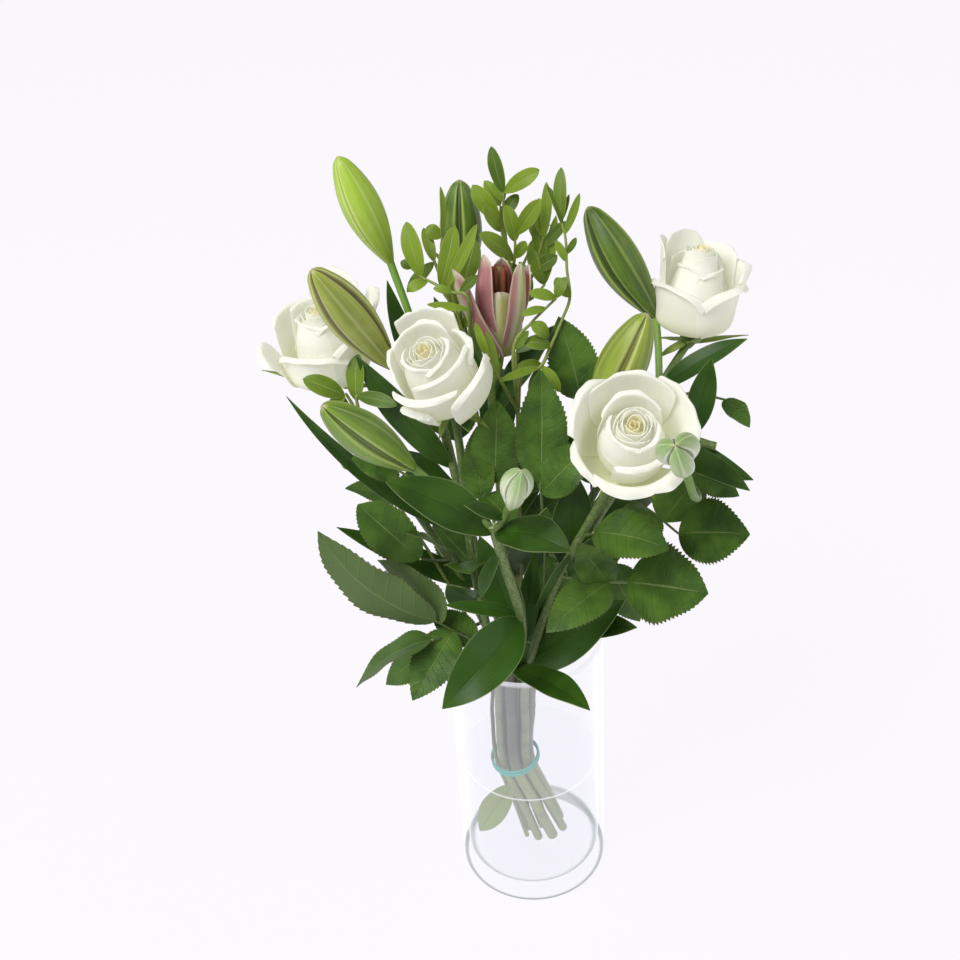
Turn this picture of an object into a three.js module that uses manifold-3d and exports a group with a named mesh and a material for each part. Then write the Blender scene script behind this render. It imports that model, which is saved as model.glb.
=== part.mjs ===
// Mixed bouquet of white roses, lilies and pistache greenery, tied with a rubber band and
// standing in a straight glass vase of water.
//
// Millimetres, +Z up, +X right, +Y to the back. The origin is the centre of the vase's foot.
// Stems run through a ring of slots in the bunch, then on through points chosen by hand to
// their flowers. Leaves, buds and petals are thin closed sheets and tubes fused to their stem.

import * as THREE from 'three';
import { mergeVertices } from 'three/addons/utils/BufferGeometryUtils.js';
import Module from 'manifold-3d';

const wasm = await Module();
wasm.setup();

// ---------------------------------------------------------------- driving dimensions, mm

const GAP = 0.4;             // clearance between two nodes that touch
const MERGE = 1e-3;          // vertices closer than this are one
const PUSH = 2;              // a vertex at a corner moves this much more than its faces
const SHORTEST_EDGE = 0.7;   // shorter edges, left where pieces cross, are drawn together

const VASE_RADIUS = 50;
const VASE_HEIGHT = 200;
const VASE_WALL = 4;
const VASE_FLOOR = 12;       // thickness of the glass base
const VASE_SIDES = 28;
const WATER_SIDES = 24;
const WATER_LEVEL = 95;

const BAND_RADIUS = 15.6;    // centre line of the rubber band
const BAND_THICKNESS = 1.6;
const BAND_WIDTH = 4.5;
const BAND_TILT = [6, -8];   // degrees about X and Y

const LEAF_THICKNESS = 0.7;
const PETAL_THICKNESS = 0.9;
const TEPAL_THICKNESS = 1.3;

const LILY_STEM_RADIUS = 3.75;
const ROSE_STEM_RADIUS = 3;
const BRANCH_RADIUS = 1.6;
const PEDICEL_RADIUS = 2.1;
const PETIOLE_RADIUS = 0.9;
const ROOT_HALF = 0.35;      // half width of a blade where it leaves its stalk

// The bunch in level sections: height, centre, how far the slots spread, and their turn.
const BUNCH = [
  { z: 15, centre: [9, 5], spread: 1.3, turn: 26 },
  { z: 60, centre: [0, -6], spread: 1.08, turn: 12 },
  { z: 105, centre: [-10, -15], spread: 1, turn: 0 },
  { z: 150, centre: [-9.5, -22], spread: 1.1, turn: -9 },
  { z: 200, centre: [-7, -28], spread: 1.34, turn: -16 },
];
const BAND_CENTRE = [-10, -13.6, 105];
const BUNCH_RADIUS = 18;     // of the hole in the water where the slots aren't spread

// ---------------------------------------------------------------- materials

const finish = (color, roughness, extra = {}) =>
  new THREE.MeshStandardMaterial({ color, roughness, metalness: 0, ...extra });

const MATERIALS = {
  glass: finish(0xf2f6f8, 0.05, { transparent: true, opacity: 0.3 }),
  water: finish(0xeaf3f2, 0.05, { transparent: true, opacity: 0.4 }),
  rubber: finish(0x2fb5a5, 0.6),
  lilyGreen: finish(0x3f6b2c, 0.45),
  roseGreen: finish(0x35592f, 0.55),
  branchGreen: finish(0x6f9440, 0.6),
  budGreen: finish(0x7f9f48, 0.45),
  paleBud: finish(0xb9cf96, 0.5),
  rosePetal: finish(0xf6f5ea, 0.6),
  lilyPetal: finish(0xb98a86, 0.5),
  stamen: finish(0x9a4a3a, 0.6),
};

// ---------------------------------------------------------------- vectors and routes

const vec = (p) => new THREE.Vector3(...p);
const lerp = (a, b, t) => a + (b - a) * t;
const radians = THREE.MathUtils.degToRad;

const route = (points) => new THREE.CatmullRomCurve3(points.map(vec), false, 'catmullrom', 0.5);

/** The nearest point to a guess on the straight spans between a route's points. */
function nearestOn(curve, guess) {
  const target = vec(guess);
  const nearest = curve.points.slice(1).map((end, i) => {
    const span = new THREE.Line3(curve.points[i], end);
    return span.closestPointToPoint(target, true, new THREE.Vector3());
  });
  nearest.sort((a, b) => a.distanceTo(target) - b.distanceTo(target));
  return nearest[0];
}

/** The centre and the two cross axes of each ring along a route, turned as little as can be. */
function ringsAlong(curve, steps) {
  const rings = [];
  const reference = Math.abs(curve.getTangent(0).y) < 0.9 ? [0, 1, 0] : [1, 0, 0];
  let normal = vec(reference).cross(curve.getTangent(0));
  for (let step = 0; step <= steps; step += 1) {
    const tangent = curve.getTangent(step / steps);
    normal = normal.clone().addScaledVector(tangent, -normal.dot(tangent)).normalize();
    rings.push({ centre: curve.getPoint(step / steps), normal, binormal: tangent.cross(normal) });
  }
  return rings;
}

/** A frame standing on base, its Z along axis and its X as near +X as it can be. */
function standingFrame(base, axis) {
  const z = vec(axis).normalize();
  const x = new THREE.Vector3(0, 1, 0).cross(z).normalize();
  const y = z.clone().cross(x);
  return new THREE.Matrix4().makeBasis(x, y, z).setPosition(...base);
}

// ---------------------------------------------------------------- closed shapes

/** A tube on a route; radiusAt(s, angle) gives its section, s from 0 at the start to 1. */
function tube(curve, radiusAt, sides, ringsPerSpan = 1) {
  const steps = (curve.points.length - 1) * ringsPerSpan;
  const geometry = new THREE.CylinderGeometry(1, 1, 1, sides, steps);
  const rings = ringsAlong(curve, steps);
  const position = geometry.attributes.position;
  for (let i = 0; i < position.count; i += 1) {
    const s = 0.5 - position.getY(i);
    const { centre, normal, binormal } = rings[Math.round(s * steps)];
    const x = position.getX(i);
    const z = position.getZ(i);
    const radius = radiusAt(s, Math.atan2(z, x));
    const point = centre.clone().addScaledVector(normal, x * radius);
    position.setXYZ(i, ...point.addScaledVector(binormal, z * radius));
  }
  return geometry;
}

const taper = (start, end) => (s) => lerp(start, end, s);

/** A profile of [radius, height] points turned about Z. */
function turned(profile, sides) {
  const points = profile.map(([r, z]) => new THREE.Vector2(r, z));
  return new THREE.LatheGeometry(points, sides).rotateX(Math.PI / 2);
}

/** A closed sheet over pointAt(u, v), u from -1 to 1 across and v from 0 to 1 along. */
function sheet(pointAt, thickness, columns, rows) {
  const plane = new THREE.PlaneGeometry(2, 1, columns, rows);
  const grid = plane.attributes.position;
  const count = grid.count;
  const points = [];
  const eps = 0.02;
  for (const side of [0.5, -0.5]) {
    for (let i = 0; i < count; i += 1) {
      const u = grid.getX(i);
      const v = grid.getY(i) + 0.5;
      const across = pointAt(Math.min(u + eps, 1), v).sub(pointAt(Math.max(u - eps, -1), v));
      const along = pointAt(u, Math.min(v + eps, 1)).sub(pointAt(u, Math.max(v - eps, 0)));
      const normal = across.cross(along).normalize();
      points.push(...pointAt(u, v).addScaledVector(normal, side * thickness));
    }
  }
  const front = [...plane.index.array];
  const back = [];
  for (let i = 0; i < front.length; i += 3) {
    back.push(front[i] + count, front[i + 2] + count, front[i + 1] + count);
  }
  const rim = [];
  const edge = rimOf(columns, rows);
  edge.forEach((a, i) => {
    const b = edge[(i + 1) % edge.length];
    rim.push(b, a, a + count, b, a + count, b + count);
  });
  const geometry = new THREE.BufferGeometry();
  geometry.setAttribute('position', new THREE.Float32BufferAttribute(points, 3));
  geometry.setIndex([...front, ...back, ...rim]);
  return geometry;
}

/** The grid's border, counter-clockwise. */
function rimOf(columns, rows) {
  const at = (column, row) => row * (columns + 1) + column;
  const loop = [];
  for (let c = 0; c < columns; c += 1) loop.push(at(c, rows));
  for (let r = rows; r > 0; r -= 1) loop.push(at(columns, r));
  for (let c = columns; c > 0; c -= 1) loop.push(at(c, 0));
  for (let r = 0; r < rows; r += 1) loop.push(at(0, r));
  return loop;
}

// ---------------------------------------------------------------- leaves

const SUN = [0.1, -0.45, 0.85];      // the way most blades face

const LEAF_KINDS = {
  lily: { columns: 2, rows: 4, rise: 0.8, fall: 0.95, teeth: 0, fold: 0.22 },
  rose: { columns: 2, rows: 6, rise: 0.6, fall: 0.95, teeth: 3, fold: 0.14 },
  plainRose: { columns: 2, rows: 4, rise: 0.6, fall: 0.95, teeth: 2, fold: 0.14 },
  leaflet: { columns: 2, rows: 3, rise: 0.7, fall: 0.7, teeth: 0, fold: 0.12 },
  sepal: { columns: 1, rows: 2, rise: 0.3, fall: 1.1, teeth: 0, fold: 0 },
};

/** Half width of a blade as a share of its widest: a rounded base, a pointed tip and teeth. */
function outline(kind, v) {
  const peak = kind.rise / (kind.rise + kind.fall);
  const shape = (x) => Math.pow(x, kind.rise) * Math.pow(1 - x, kind.fall);
  const tooth = kind.teeth ? Math.abs(((v * kind.teeth) % 1) - 0.5) : 0.25;
  return (shape(v) / shape(peak)) * (1 + 0.45 * (0.25 - tooth));
}

/** A blade from root to tip: face is its normal, lift bows it along that and sway to its side. */
function leaf(kindName, { root, tip, width, face = SUN, lift = 6, sway = 0, twist = 0 }) {
  const kind = LEAF_KINDS[kindName];
  const start = vec(root);
  const end = vec(tip);
  const up = vec(face).normalize();
  const side = end.clone().sub(start).cross(up).normalize();
  const middle = start.clone().lerp(end, 0.5).addScaledVector(up, 2 * lift);
  middle.addScaledVector(side, 2 * sway);
  const rib = new THREE.QuadraticBezierCurve3(start, middle, end);
  const pointAt = (u, v) => {
    const along = rib.getTangent(v);
    const normal = up.clone().addScaledVector(along, -up.dot(along)).normalize();
    normal.applyAxisAngle(along, radians(twist) * v);
    const across = along.clone().cross(normal);
    const half = Math.max(0.5 * width * outline(kind, v), ROOT_HALF);
    const rise = half * kind.fold * Math.abs(u);
    return rib.getPoint(v).addScaledVector(across, u * half).addScaledVector(normal, rise);
  };
  return sheet(pointAt, LEAF_THICKNESS, kind.columns, kind.rows);
}

/** Sprigs on a stem: each stalk starts on the stem, and each of its leaflets on the stalk. */
function sprigsOn(stem, sprigs, kindName) {
  const stalks = [];
  const blades = [];
  for (const { stalk, leaflets, plain } of sprigs) {
    const petiole = route([[...nearestOn(stem, stalk[0])], ...stalk.slice(1)]);
    stalks.push(tube(petiole, taper(PETIOLE_RADIUS * 1.3, PETIOLE_RADIUS), 4));
    for (const blade of leaflets) {
      const root = [...nearestOn(petiole, blade.root)];
      blades.push(leaf(plain ? 'plainRose' : kindName, { ...blade, root }));
    }
  }
  return { stalks, blades };
}

// ---------------------------------------------------------------- flowers

const BUD_GROOVE = 0.17;     // depth of the grooves between a bud's lobes, as a share of its radius

/** A closed lily bud: three long lobes with a groove between, blunt at the tip. */
function bud({ base, tip, width, bend, turn, groove = BUD_GROOVE }) {
  const start = vec(base);
  const end = vec(tip);
  const side = end.clone().sub(start).cross(new THREE.Vector3(0, 0, 1)).normalize();
  const middle = start.clone().lerp(end, 0.5).addScaledVector(side, bend);
  const curve = route([[...start], [...middle], [...end]]);
  const radiusAt = (s, angle) => {
    const swell = Math.pow(Math.sin(Math.PI * Math.pow(0.07 + 0.86 * s, 1.12)), 0.72);
    const valley = Math.pow(Math.abs(Math.cos(1.5 * (angle - radians(turn)))), 6);
    return 0.5 * width * swell * (1 - groove * valley);
  };
  return tube(curve, radiusAt, 9, 3);
}

// The heart's profile, and how far off centre each of its rings of furled petals sits.
const ROSE_HEART = [
  { r: 0, z: 0, off: 0 }, { r: 9, z: 1, off: 0 }, { r: 17, z: 14, off: 0 },
  { r: 18, z: 28, off: 0 }, { r: 14.5, z: 49, off: 1.2 }, { r: 11.5, z: 45, off: 1.2 },
  { r: 9, z: 51, off: -1.2 }, { r: 5.5, z: 46, off: -1.2 }, { r: 3, z: 50, off: 0.6 },
  { r: 0, z: 46, off: 0 },
];
const HEART_SIDES = 9;
const PETAL_FOOT = 4;        // radius where the petals leave the flower's base

/**
 * One outer petal: a wide cup from the foot through its belly to the rim, then rolled out.
 * turn is where it faces and half how far it reaches round to each side, in degrees; its rim
 * drops by drop towards the sides.
 */
function rosePetal({ turn, half, belly, rim, height, roll, drop }) {
  const profile = route([
    [PETAL_FOOT, 0, 0],
    [belly * 0.9, 0, height * 0.2],
    [lerp(belly, rim, 0.35), 0, height * 0.62],
    [rim, 0, height],
    [rim + roll, 0, height - roll * 0.5],
  ]);
  return (u, v) => {
    const p = profile.getPoint(v);
    const claw = lerp(0.45, 1, Math.min(v * 2.5, 1));
    const corner = Math.sqrt(1 - 0.45 * Math.pow(Math.max(2 * v - 1, 0), 2));
    const swing = radians(turn + u * half * claw * corner);
    return new THREE.Vector3(p.x * Math.cos(swing), p.x * Math.sin(swing), p.z - drop * u * u * v * v);
  };
}

/** The furled middle: rings of petal rims, each a little off centre and tilted. */
function roseHeart(scale, turn) {
  const heart = turned(ROSE_HEART.map(({ r, z }) => [r, z]), HEART_SIDES);
  const position = heart.attributes.position;
  const rings = ROSE_HEART.length;
  for (let i = 0; i < position.count; i += 1) {
    const { off } = ROSE_HEART[i % rings];
    const angle = Math.atan2(position.getY(i), position.getX(i));
    const tilt = Math.abs(off) * 1.3 * Math.cos(angle - off * 2);
    position.setXYZ(i, position.getX(i) + off, position.getY(i) - off * 0.6, position.getZ(i) + tilt);
  }
  return heart.rotateZ(radians(turn)).scale(scale, scale, scale);
}

/** The bloom: a heart of furled petals, tall times its usual height, and the outer petals. */
function roseBloom({ base, axis, size, turn, tall = 1, petals }) {
  const frame = standingFrame(base, axis);
  const heart = roseHeart(size, turn).scale(1, 1, tall);
  const outer = petals.map((petal) => sheet(rosePetal(petal), PETAL_THICKNESS, 3, 4));
  return [heart, ...outer].map((shape) => shape.applyMatrix4(frame));
}

// The green cup under a rose: radius and height of each ring of its profile.
const CALYX_CUP = [[0, -9], [2.6, -9], [4.2, -6], [5.6, -2.5], [4.6, 0.6], [0, 1.2]];
const SEPAL_ROOT = [3.5, -4];        // radius and height where the sepals leave the cup
const SEPAL_WIDTH = 8;
const SEPAL_SPREAD = 6;              // how far a sepal's tip stands out beyond its own reach

/** The calyx: the cup and its sepals, bent back by their droop. */
function roseCalyx({ base, axis }, sepals) {
  const frame = standingFrame(base, axis);
  const shapes = [turned(CALYX_CUP, 8)];
  for (const { turn, reach, droop } of sepals) {
    const angle = radians(turn);
    const out = new THREE.Vector3(Math.cos(angle), Math.sin(angle), 0);
    const root = out.clone().multiplyScalar(SEPAL_ROOT[0]).setZ(SEPAL_ROOT[1]);
    const tip = out.clone().multiplyScalar(SEPAL_SPREAD + reach * Math.cos(radians(droop)));
    tip.z = -reach * Math.sin(radians(droop));
    const blade = { root: [...root], tip: [...tip], width: SEPAL_WIDTH, face: [0, 0, 1], lift: 1 };
    shapes.push(leaf('sepal', blade));
  }
  return shapes.map((shape) => shape.applyMatrix4(frame));
}

/** A tepal of the opening lily: a long cupped blade that leans out by its lean, in degrees. */
function lilyTepal({ turn, lean, length, width, curl, start }) {
  return (u, v) => {
    const half = 0.5 * width * Math.pow(Math.sin(Math.PI * (0.1 + 0.83 * v)), 0.6);
    const bow = Math.sin(Math.PI * v * 0.9) * length * 0.11;
    const r = start + bow + v * length * Math.sin(radians(lean)) + curl * Math.pow(v, 4);
    const z = v * length * Math.cos(radians(lean));
    const p = new THREE.Vector3(r - Math.abs(u) ** 1.5 * half * 0.42, half * u, z);
    return p.applyAxisAngle(new THREE.Vector3(0, 0, 1), radians(turn));
  };
}

// ---------------------------------------------------------------- the bunch: slots and routes

/** The points of a stem through the bunch, from its foot to the vase's lip. */
function throughBunch([x, y]) {
  return BUNCH.map(({ z, centre, spread, turn }) => {
    const c = Math.cos(radians(turn));
    const s = Math.sin(radians(turn));
    return [centre[0] + spread * (x * c - y * s), centre[1] + spread * (x * s + y * c), z];
  });
}

const LILY_STEMS = {
  lily_stem_1: {
    slot: [0, -7.8],
    above: [[-3, -48, 230], [-2, -57, 262], [-9, -62, 300], [-15, -62, 330]],
    pedicels: [
      [[-14, -62, 327], [-36, -54, 343], [-57, -46, 360]],
      [[-14, -62, 327], [-8, -67, 338], [-6, -73, 348], [-4, -84, 358]],
    ],
    leaves: [
      { root: [-15, -62, 326], tip: [-71, -60, 361], width: 27, lift: 5 },
      { root: [-15, -62, 325], tip: [26, -95, 335], width: 24, lift: 8 },
      { root: [-3, -58, 260], tip: [-48, -106, 237], width: 30, lift: 13, face: [0.2, -0.7, 0.7] },
      { root: [-6, -41, 206], tip: [35, -100, 226], width: 20, lift: 6, face: [0.2, -0.4, 0.9] },
      { root: [-3, -41, 204], tip: [60, -42, 258], width: 32, lift: -7, face: [0.1, -0.6, 0.8] },
      { root: [-3, -57, 262], tip: [-45, -62, 276], width: 9, lift: 2 },
      { root: [-6, -67, 337], tip: [-29, -75, 354], width: 9, lift: 1 },
      { root: [-12, -62, 312], tip: [-24, -66, 283], width: 8, lift: 4, face: [-0.5, -0.8, 0.3] },
      { root: [-4, -50, 240], tip: [-24, -24, 296], width: 22, lift: 3, face: [-0.1, -0.8, 0.5] },
      { root: [-3, -46, 225], tip: [8, -16, 276], width: 14, lift: 2, face: [0.3, -0.8, 0.5] },
    ],
  },
  lily_stem_2: {
    slot: [-6.5, 10],
    above: [[-26, 2, 255], [-38, 22, 310], [-48, 40, 358]],
    pedicels: [
      [[-48, 40, 356], [-58, 58, 392], [-70, 75, 428]],
      [[-48, 40, 356], [-60, 33, 370], [-70, 25, 385]],
    ],
    leaves: [
      { root: [-47, 38, 354], tip: [-68, 27, 438], width: 13, lift: -4, sway: -3, face: [0.3, -0.9, 0.3] },
      { root: [-38, 22, 312], tip: [-91, 30, 390], width: 19, lift: 5, face: [-0.3, -0.8, 0.4] },
      { root: [-30, 8, 275], tip: [-129, 0, 382], width: 10, lift: -3, sway: -9, face: [-0.2, -0.6, 0.7] },
      { root: [-24, -4, 240], tip: [-108, -16, 301], width: 17, lift: -3 },
      { root: [-32, 12, 285], tip: [-84, 70, 300], width: 23, lift: 8, face: [-0.2, 0.5, 0.8] },
      { root: [-42, 30, 335], tip: [-62, 108, 356], width: 23, lift: 8, face: [0, 0.4, 0.9] },
      { root: [-46, 37, 352], tip: [-26, -18, 364], width: 14, lift: 4, face: [0.3, -0.2, 0.9] },
      { root: [-22, -8, 228], tip: [-44, -44, 276], width: 24, lift: 3, face: [-0.3, -0.7, 0.5] },
    ],
  },
  lily_stem_3: {
    slot: [1.2, 7.3],
    above: [[-8, 10, 258], [-12, 34, 312], [-14, 56, 350]],
    pedicels: [
      [[-14, 56, 348], [-22, 82, 366], [-29, 105, 396]],
      [[-14, 56, 348], [-9, 59, 360], [-7, 60, 370]],
    ],
    leaves: [
      { root: [-9, 14, 268], tip: [22, 84, 296], width: 24, lift: 8, face: [0.2, 0.4, 0.9] },
      { root: [-12, 34, 312], tip: [-8, 116, 330], width: 24, lift: 8, face: [0, 0.4, 0.9] },
      { root: [-13, 50, 342], tip: [-46, 78, 402], width: 16, lift: 3, face: [-0.4, -0.7, 0.6] },
      { root: [-13, 46, 336], tip: [28, 92, 372], width: 20, lift: 5, face: [0.2, 0.3, 0.9] },
      { root: [-8, 4, 244], tip: [16, -30, 318], width: 26, lift: 3, face: [0.2, -0.9, 0.3] },
      { root: [-10, 24, 292], tip: [40, 2, 352], width: 27, lift: 4, face: [0.1, -0.8, 0.5] },
    ],
  },
  lily_stem_4: {
    slot: [9.3, 2.1],
    above: [[26, -8, 250], [56, 6, 300], [84, 16, 334], [117, 5, 332]],
    pedicels: [
      [[82, 16, 332], [87, 40, 350], [89, 62, 366], [89, 80, 381]],
      [[72, 12, 322], [60, 10, 334], [47, 10, 352]],
      [[84, 16, 333], [100, -32, 327], [94, -64, 346], [86, -78, 376]],
    ],
    leaves: [
      { root: [87, 41, 352], tip: [139, 45, 381], width: 14, lift: 5, face: [-0.2, -0.5, 0.8] },
      { root: [104, 10, 335], tip: [113, 12, 387], width: 16, lift: -4, face: [-0.3, -0.9, 0.1] },
      { root: [90, 12, 330], tip: [130, -36, 328], width: 17, lift: 2 },
      { root: [82, 15, 331], tip: [136, -15, 321], width: 20, lift: -3 },
      { root: [62, 8, 306], tip: [98, 78, 318], width: 23, lift: 8, face: [0.2, 0.4, 0.9] },
      { root: [34, -4, 262], tip: [88, 52, 266], width: 23, lift: 9, face: [0.3, 0.2, 0.9] },
      { root: [14, -17, 216], tip: [67, -45, 239], width: 20, lift: 3 },
      { root: [10, -20, 214], tip: [28, -30, 284], width: 25, lift: 3, face: [0.2, -0.9, 0.2] },
      { root: [22, -11, 242], tip: [66, -20, 298], width: 24, lift: 3, face: [0, -0.8, 0.5] },
      { root: [24, -8, 254], tip: [34, 2, 320], width: 26, lift: 3, face: [0.1, -0.9, 0.4] },
    ],
  },
};

const ROSE_STEMS = {
  rose_stem_1: {
    slot: [-7.5, -5.5],
    above: [[-29, -18, 270], [-33, 6, 335]],
    bloom: {
      base: [-38, 15, 369], axis: [-0.24, -0.4, 0.88], size: 0.95, turn: 10,
      petals: [
        { turn: 300, half: 65, belly: 22, rim: 21, height: 43, roll: 2, drop: 5 },
        { turn: 80, half: 45, belly: 22, rim: 25, height: 50, roll: 1, drop: 3 },
        { turn: 165, half: 45, belly: 22, rim: 21, height: 42, roll: 1.5, drop: 6 },
        { turn: 15, half: 40, belly: 23, rim: 23, height: 38, roll: 3, drop: 6 },
        { turn: 252, half: 50, belly: 24, rim: 26, height: 35, roll: 4, drop: 3 },
        { turn: 322, half: 42, belly: 30, rim: 30, height: 33, roll: 3, drop: 9 },
        { turn: 232, half: 24, belly: 25, rim: 26, height: 22, roll: 4, drop: 5 },
      ],
    },
    sepals: [
      { turn: -52, reach: 26, droop: 18 }, { turn: 20, reach: 22, droop: 30 },
      { turn: 92, reach: 22, droop: 10 }, { turn: 164, reach: 22, droop: 30 },
      { turn: 236, reach: 22, droop: 40 },
    ],
    sprigs: [
      { stalk: [[-20, -32, 214], [-40, -32, 229], [-53, -36, 243]],
        leaflets: [
          { root: [-53, -36, 243], tip: [-115, -40, 316], width: 36, lift: -5, sway: 8,
            face: [0.1, 0.95, 0.2] },
          { root: [-52, -33, 239], tip: [-86, -18, 277], width: 26, lift: 3, sway: -4,
            face: [0.2, 0.9, 0.3] },
          { root: [-44, -33, 231], tip: [-69, -65, 206], width: 27, lift: 3, face: [0, -0.6, 0.8] },
          { root: [-30, -32, 221], tip: [-57, -22, 238], width: 20, lift: 2, face: [0, -0.5, 0.8] },
        ] },
      { stalk: [[-28, -20, 262], [-34, -18, 270], [-38, -20, 276]],
        plain: true,
        leaflets: [
          { root: [-38, -20, 276], tip: [-66, -30, 305], width: 26, lift: 2, face: [0.3, 0.4, 0.8] },
          { root: [-36, -19, 273], tip: [-30, -52, 290], width: 22, lift: 3 },
        ] },
      { stalk: [[-30, -12, 300], [-22, -10, 312], [-14, -8, 322]],
        plain: true,
        leaflets: [
          { root: [-14, -8, 322], tip: [-10, 8, 369], width: 28, lift: 3, face: [0.1, -0.8, 0.5] },
          { root: [-20, -10, 314], tip: [-4, -44, 318], width: 26, lift: 3 },
          { root: [-22, -10, 312], tip: [-23, 6, 352], width: 19, lift: 2, face: [-0.2, -0.9, 0.3] },
        ] },
      { stalk: [[-31, -4, 308], [-35, 30, 310], [-38, 54, 314]],
        plain: true,
        leaflets: [
          { root: [-38, 54, 314], tip: [-46, 98, 322], width: 32, lift: 4, face: [0, 0.4, 0.9] },
        ] },
      { stalk: [[-30, -10, 305], [-55, -5, 320], [-70, -6, 333]],
        leaflets: [
          { root: [-70, -6, 333], tip: [-95, -10, 345], width: 22, lift: 2 },
        ] },
    ],
    dipped: { root: [-9, -15, 82], tip: [-37, -26, 46], width: 19, lift: 3, face: [-0.6, -0.8, 0.2] },
  },
  rose_stem_2: {
    slot: [7.5, -6],
    above: [[20, -30, 262], [45, -24, 312]],
    bloom: {
      base: [62, -30, 351], axis: [0, -0.6, 0.8], size: 1, turn: 55,
      petals: [
        { turn: 262, half: 42, belly: 21, rim: 22, height: 38, roll: 3.5, drop: 2 },
        { turn: 88, half: 55, belly: 25, rim: 29, height: 46, roll: 2, drop: 4 },
        { turn: 18, half: 46, belly: 26, rim: 33, height: 43, roll: 2, drop: 5 },
        { turn: 148, half: 40, belly: 27, rim: 31, height: 46, roll: 4, drop: 8 },
        { turn: 205, half: 30, belly: 27, rim: 30, height: 28, roll: 4, drop: 6 },
        { turn: 265, half: 46, belly: 26, rim: 28, height: 26, roll: 6, drop: 0 },
        { turn: 308, half: 28, belly: 27, rim: 29, height: 30, roll: 7, drop: 5 },
      ],
    },
    sepals: [
      { turn: -62, reach: 24, droop: 8 }, { turn: 10, reach: 24, droop: 20 },
      { turn: 82, reach: 22, droop: 20 }, { turn: 154, reach: 24, droop: 25 },
      { turn: 226, reach: 24, droop: 40 },
    ],
    sprigs: [
      { stalk: [[22, -29, 266], [38, -40, 271], [50, -45, 274], [61, -46, 274]],
        leaflets: [
          { root: [61, -46, 274], tip: [106, -58, 273], width: 50, lift: 1, face: [0, -0.35, 0.95] },
          { root: [50, -46, 275], tip: [12, -76, 264], width: 26, lift: 5 },
          { root: [50, -45, 277], tip: [32, -58, 313], width: 22, lift: 2, face: [-0.2, -0.8, 0.5] },
        ] },
      { stalk: [[36, -27, 293], [40, -33, 300], [42, -38, 305]],
        leaflets: [
          { root: [42, -38, 305], tip: [83, -56, 304], width: 31, lift: 5 },
        ] },
      { stalk: [[30, -28, 278], [44, 14, 280], [46, 40, 286]],
        plain: true,
        leaflets: [
          { root: [46, 40, 286], tip: [60, 84, 296], width: 32, lift: 4, face: [0, 0.4, 0.9] },
        ] },
      { stalk: [[12, -32, 240], [14, -22, 280], [13, -10, 322]],
        plain: true,
        leaflets: [
          { root: [13, -10, 322], tip: [16, 16, 383], width: 30, lift: 3, face: [0.2, -0.85, 0.4] },
          { root: [14, -12, 316], tip: [42, -8, 346], width: 25, lift: 3, face: [0.1, -0.6, 0.8] },
        ] },
    ],
  },
  rose_stem_3: {
    slot: [8.3, 9.3],
    above: [[28, 12, 255], [62, 44, 305], [92, 66, 342]],
    bloom: {
      base: [110, 79, 368], axis: [0.12, 0.1, 0.98], size: 1, turn: 80, tall: 1.14,
      petals: [
        { turn: 215, half: 65, belly: 23.5, rim: 26, height: 36, roll: 3, drop: 12 },
        { turn: 320, half: 55, belly: 25, rim: 27, height: 38, roll: 5, drop: 12 },
        { turn: 120, half: 40, belly: 21, rim: 21, height: 60, roll: 0.5, drop: 8 },
        { turn: 10, half: 45, belly: 25, rim: 26, height: 46, roll: 5, drop: 8 },
        { turn: 170, half: 36, belly: 22, rim: 25, height: 59, roll: 1, drop: 10 },
        { turn: 55, half: 42, belly: 23, rim: 23, height: 53, roll: 2, drop: 6 },
      ],
    },
    sepals: [
      { turn: -10, reach: 30, droop: -8 }, { turn: 62, reach: 22, droop: 30 },
      { turn: 134, reach: 22, droop: 30 }, { turn: 206, reach: 22, droop: 40 },
      { turn: 278, reach: 20, droop: -20 },
    ],
    sprigs: [
      { stalk: [[52, 36, 290], [78, 8, 287], [94, -14, 284]],
        leaflets: [
          { root: [94, -14, 284], tip: [135, -22, 287], width: 40, lift: 2, face: [0, -0.5, 0.9] },
          { root: [86, -4, 289], tip: [112, 30, 292], width: 30, lift: 3, face: [0.1, 0, 1] },
          { root: [80, 4, 290], tip: [60, -22, 284], width: 26, lift: 3 },
        ] },
      { stalk: [[82, 58, 330], [106, 44, 346], [125, 28, 350]],
        leaflets: [
          { root: [124, 28, 350], tip: [137, 10, 341], width: 13, lift: 2 },
        ] },
      { stalk: [[56, 39, 297], [46, 36, 330], [40, 34, 352]],
        leaflets: [
          { root: [40, 34, 352], tip: [28, 44, 402], width: 29, lift: 3, face: [0.1, -0.8, 0.6] },
        ] },
      { stalk: [[36, 20, 266], [58, 52, 276], [72, 72, 282]],
        plain: true,
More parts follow.
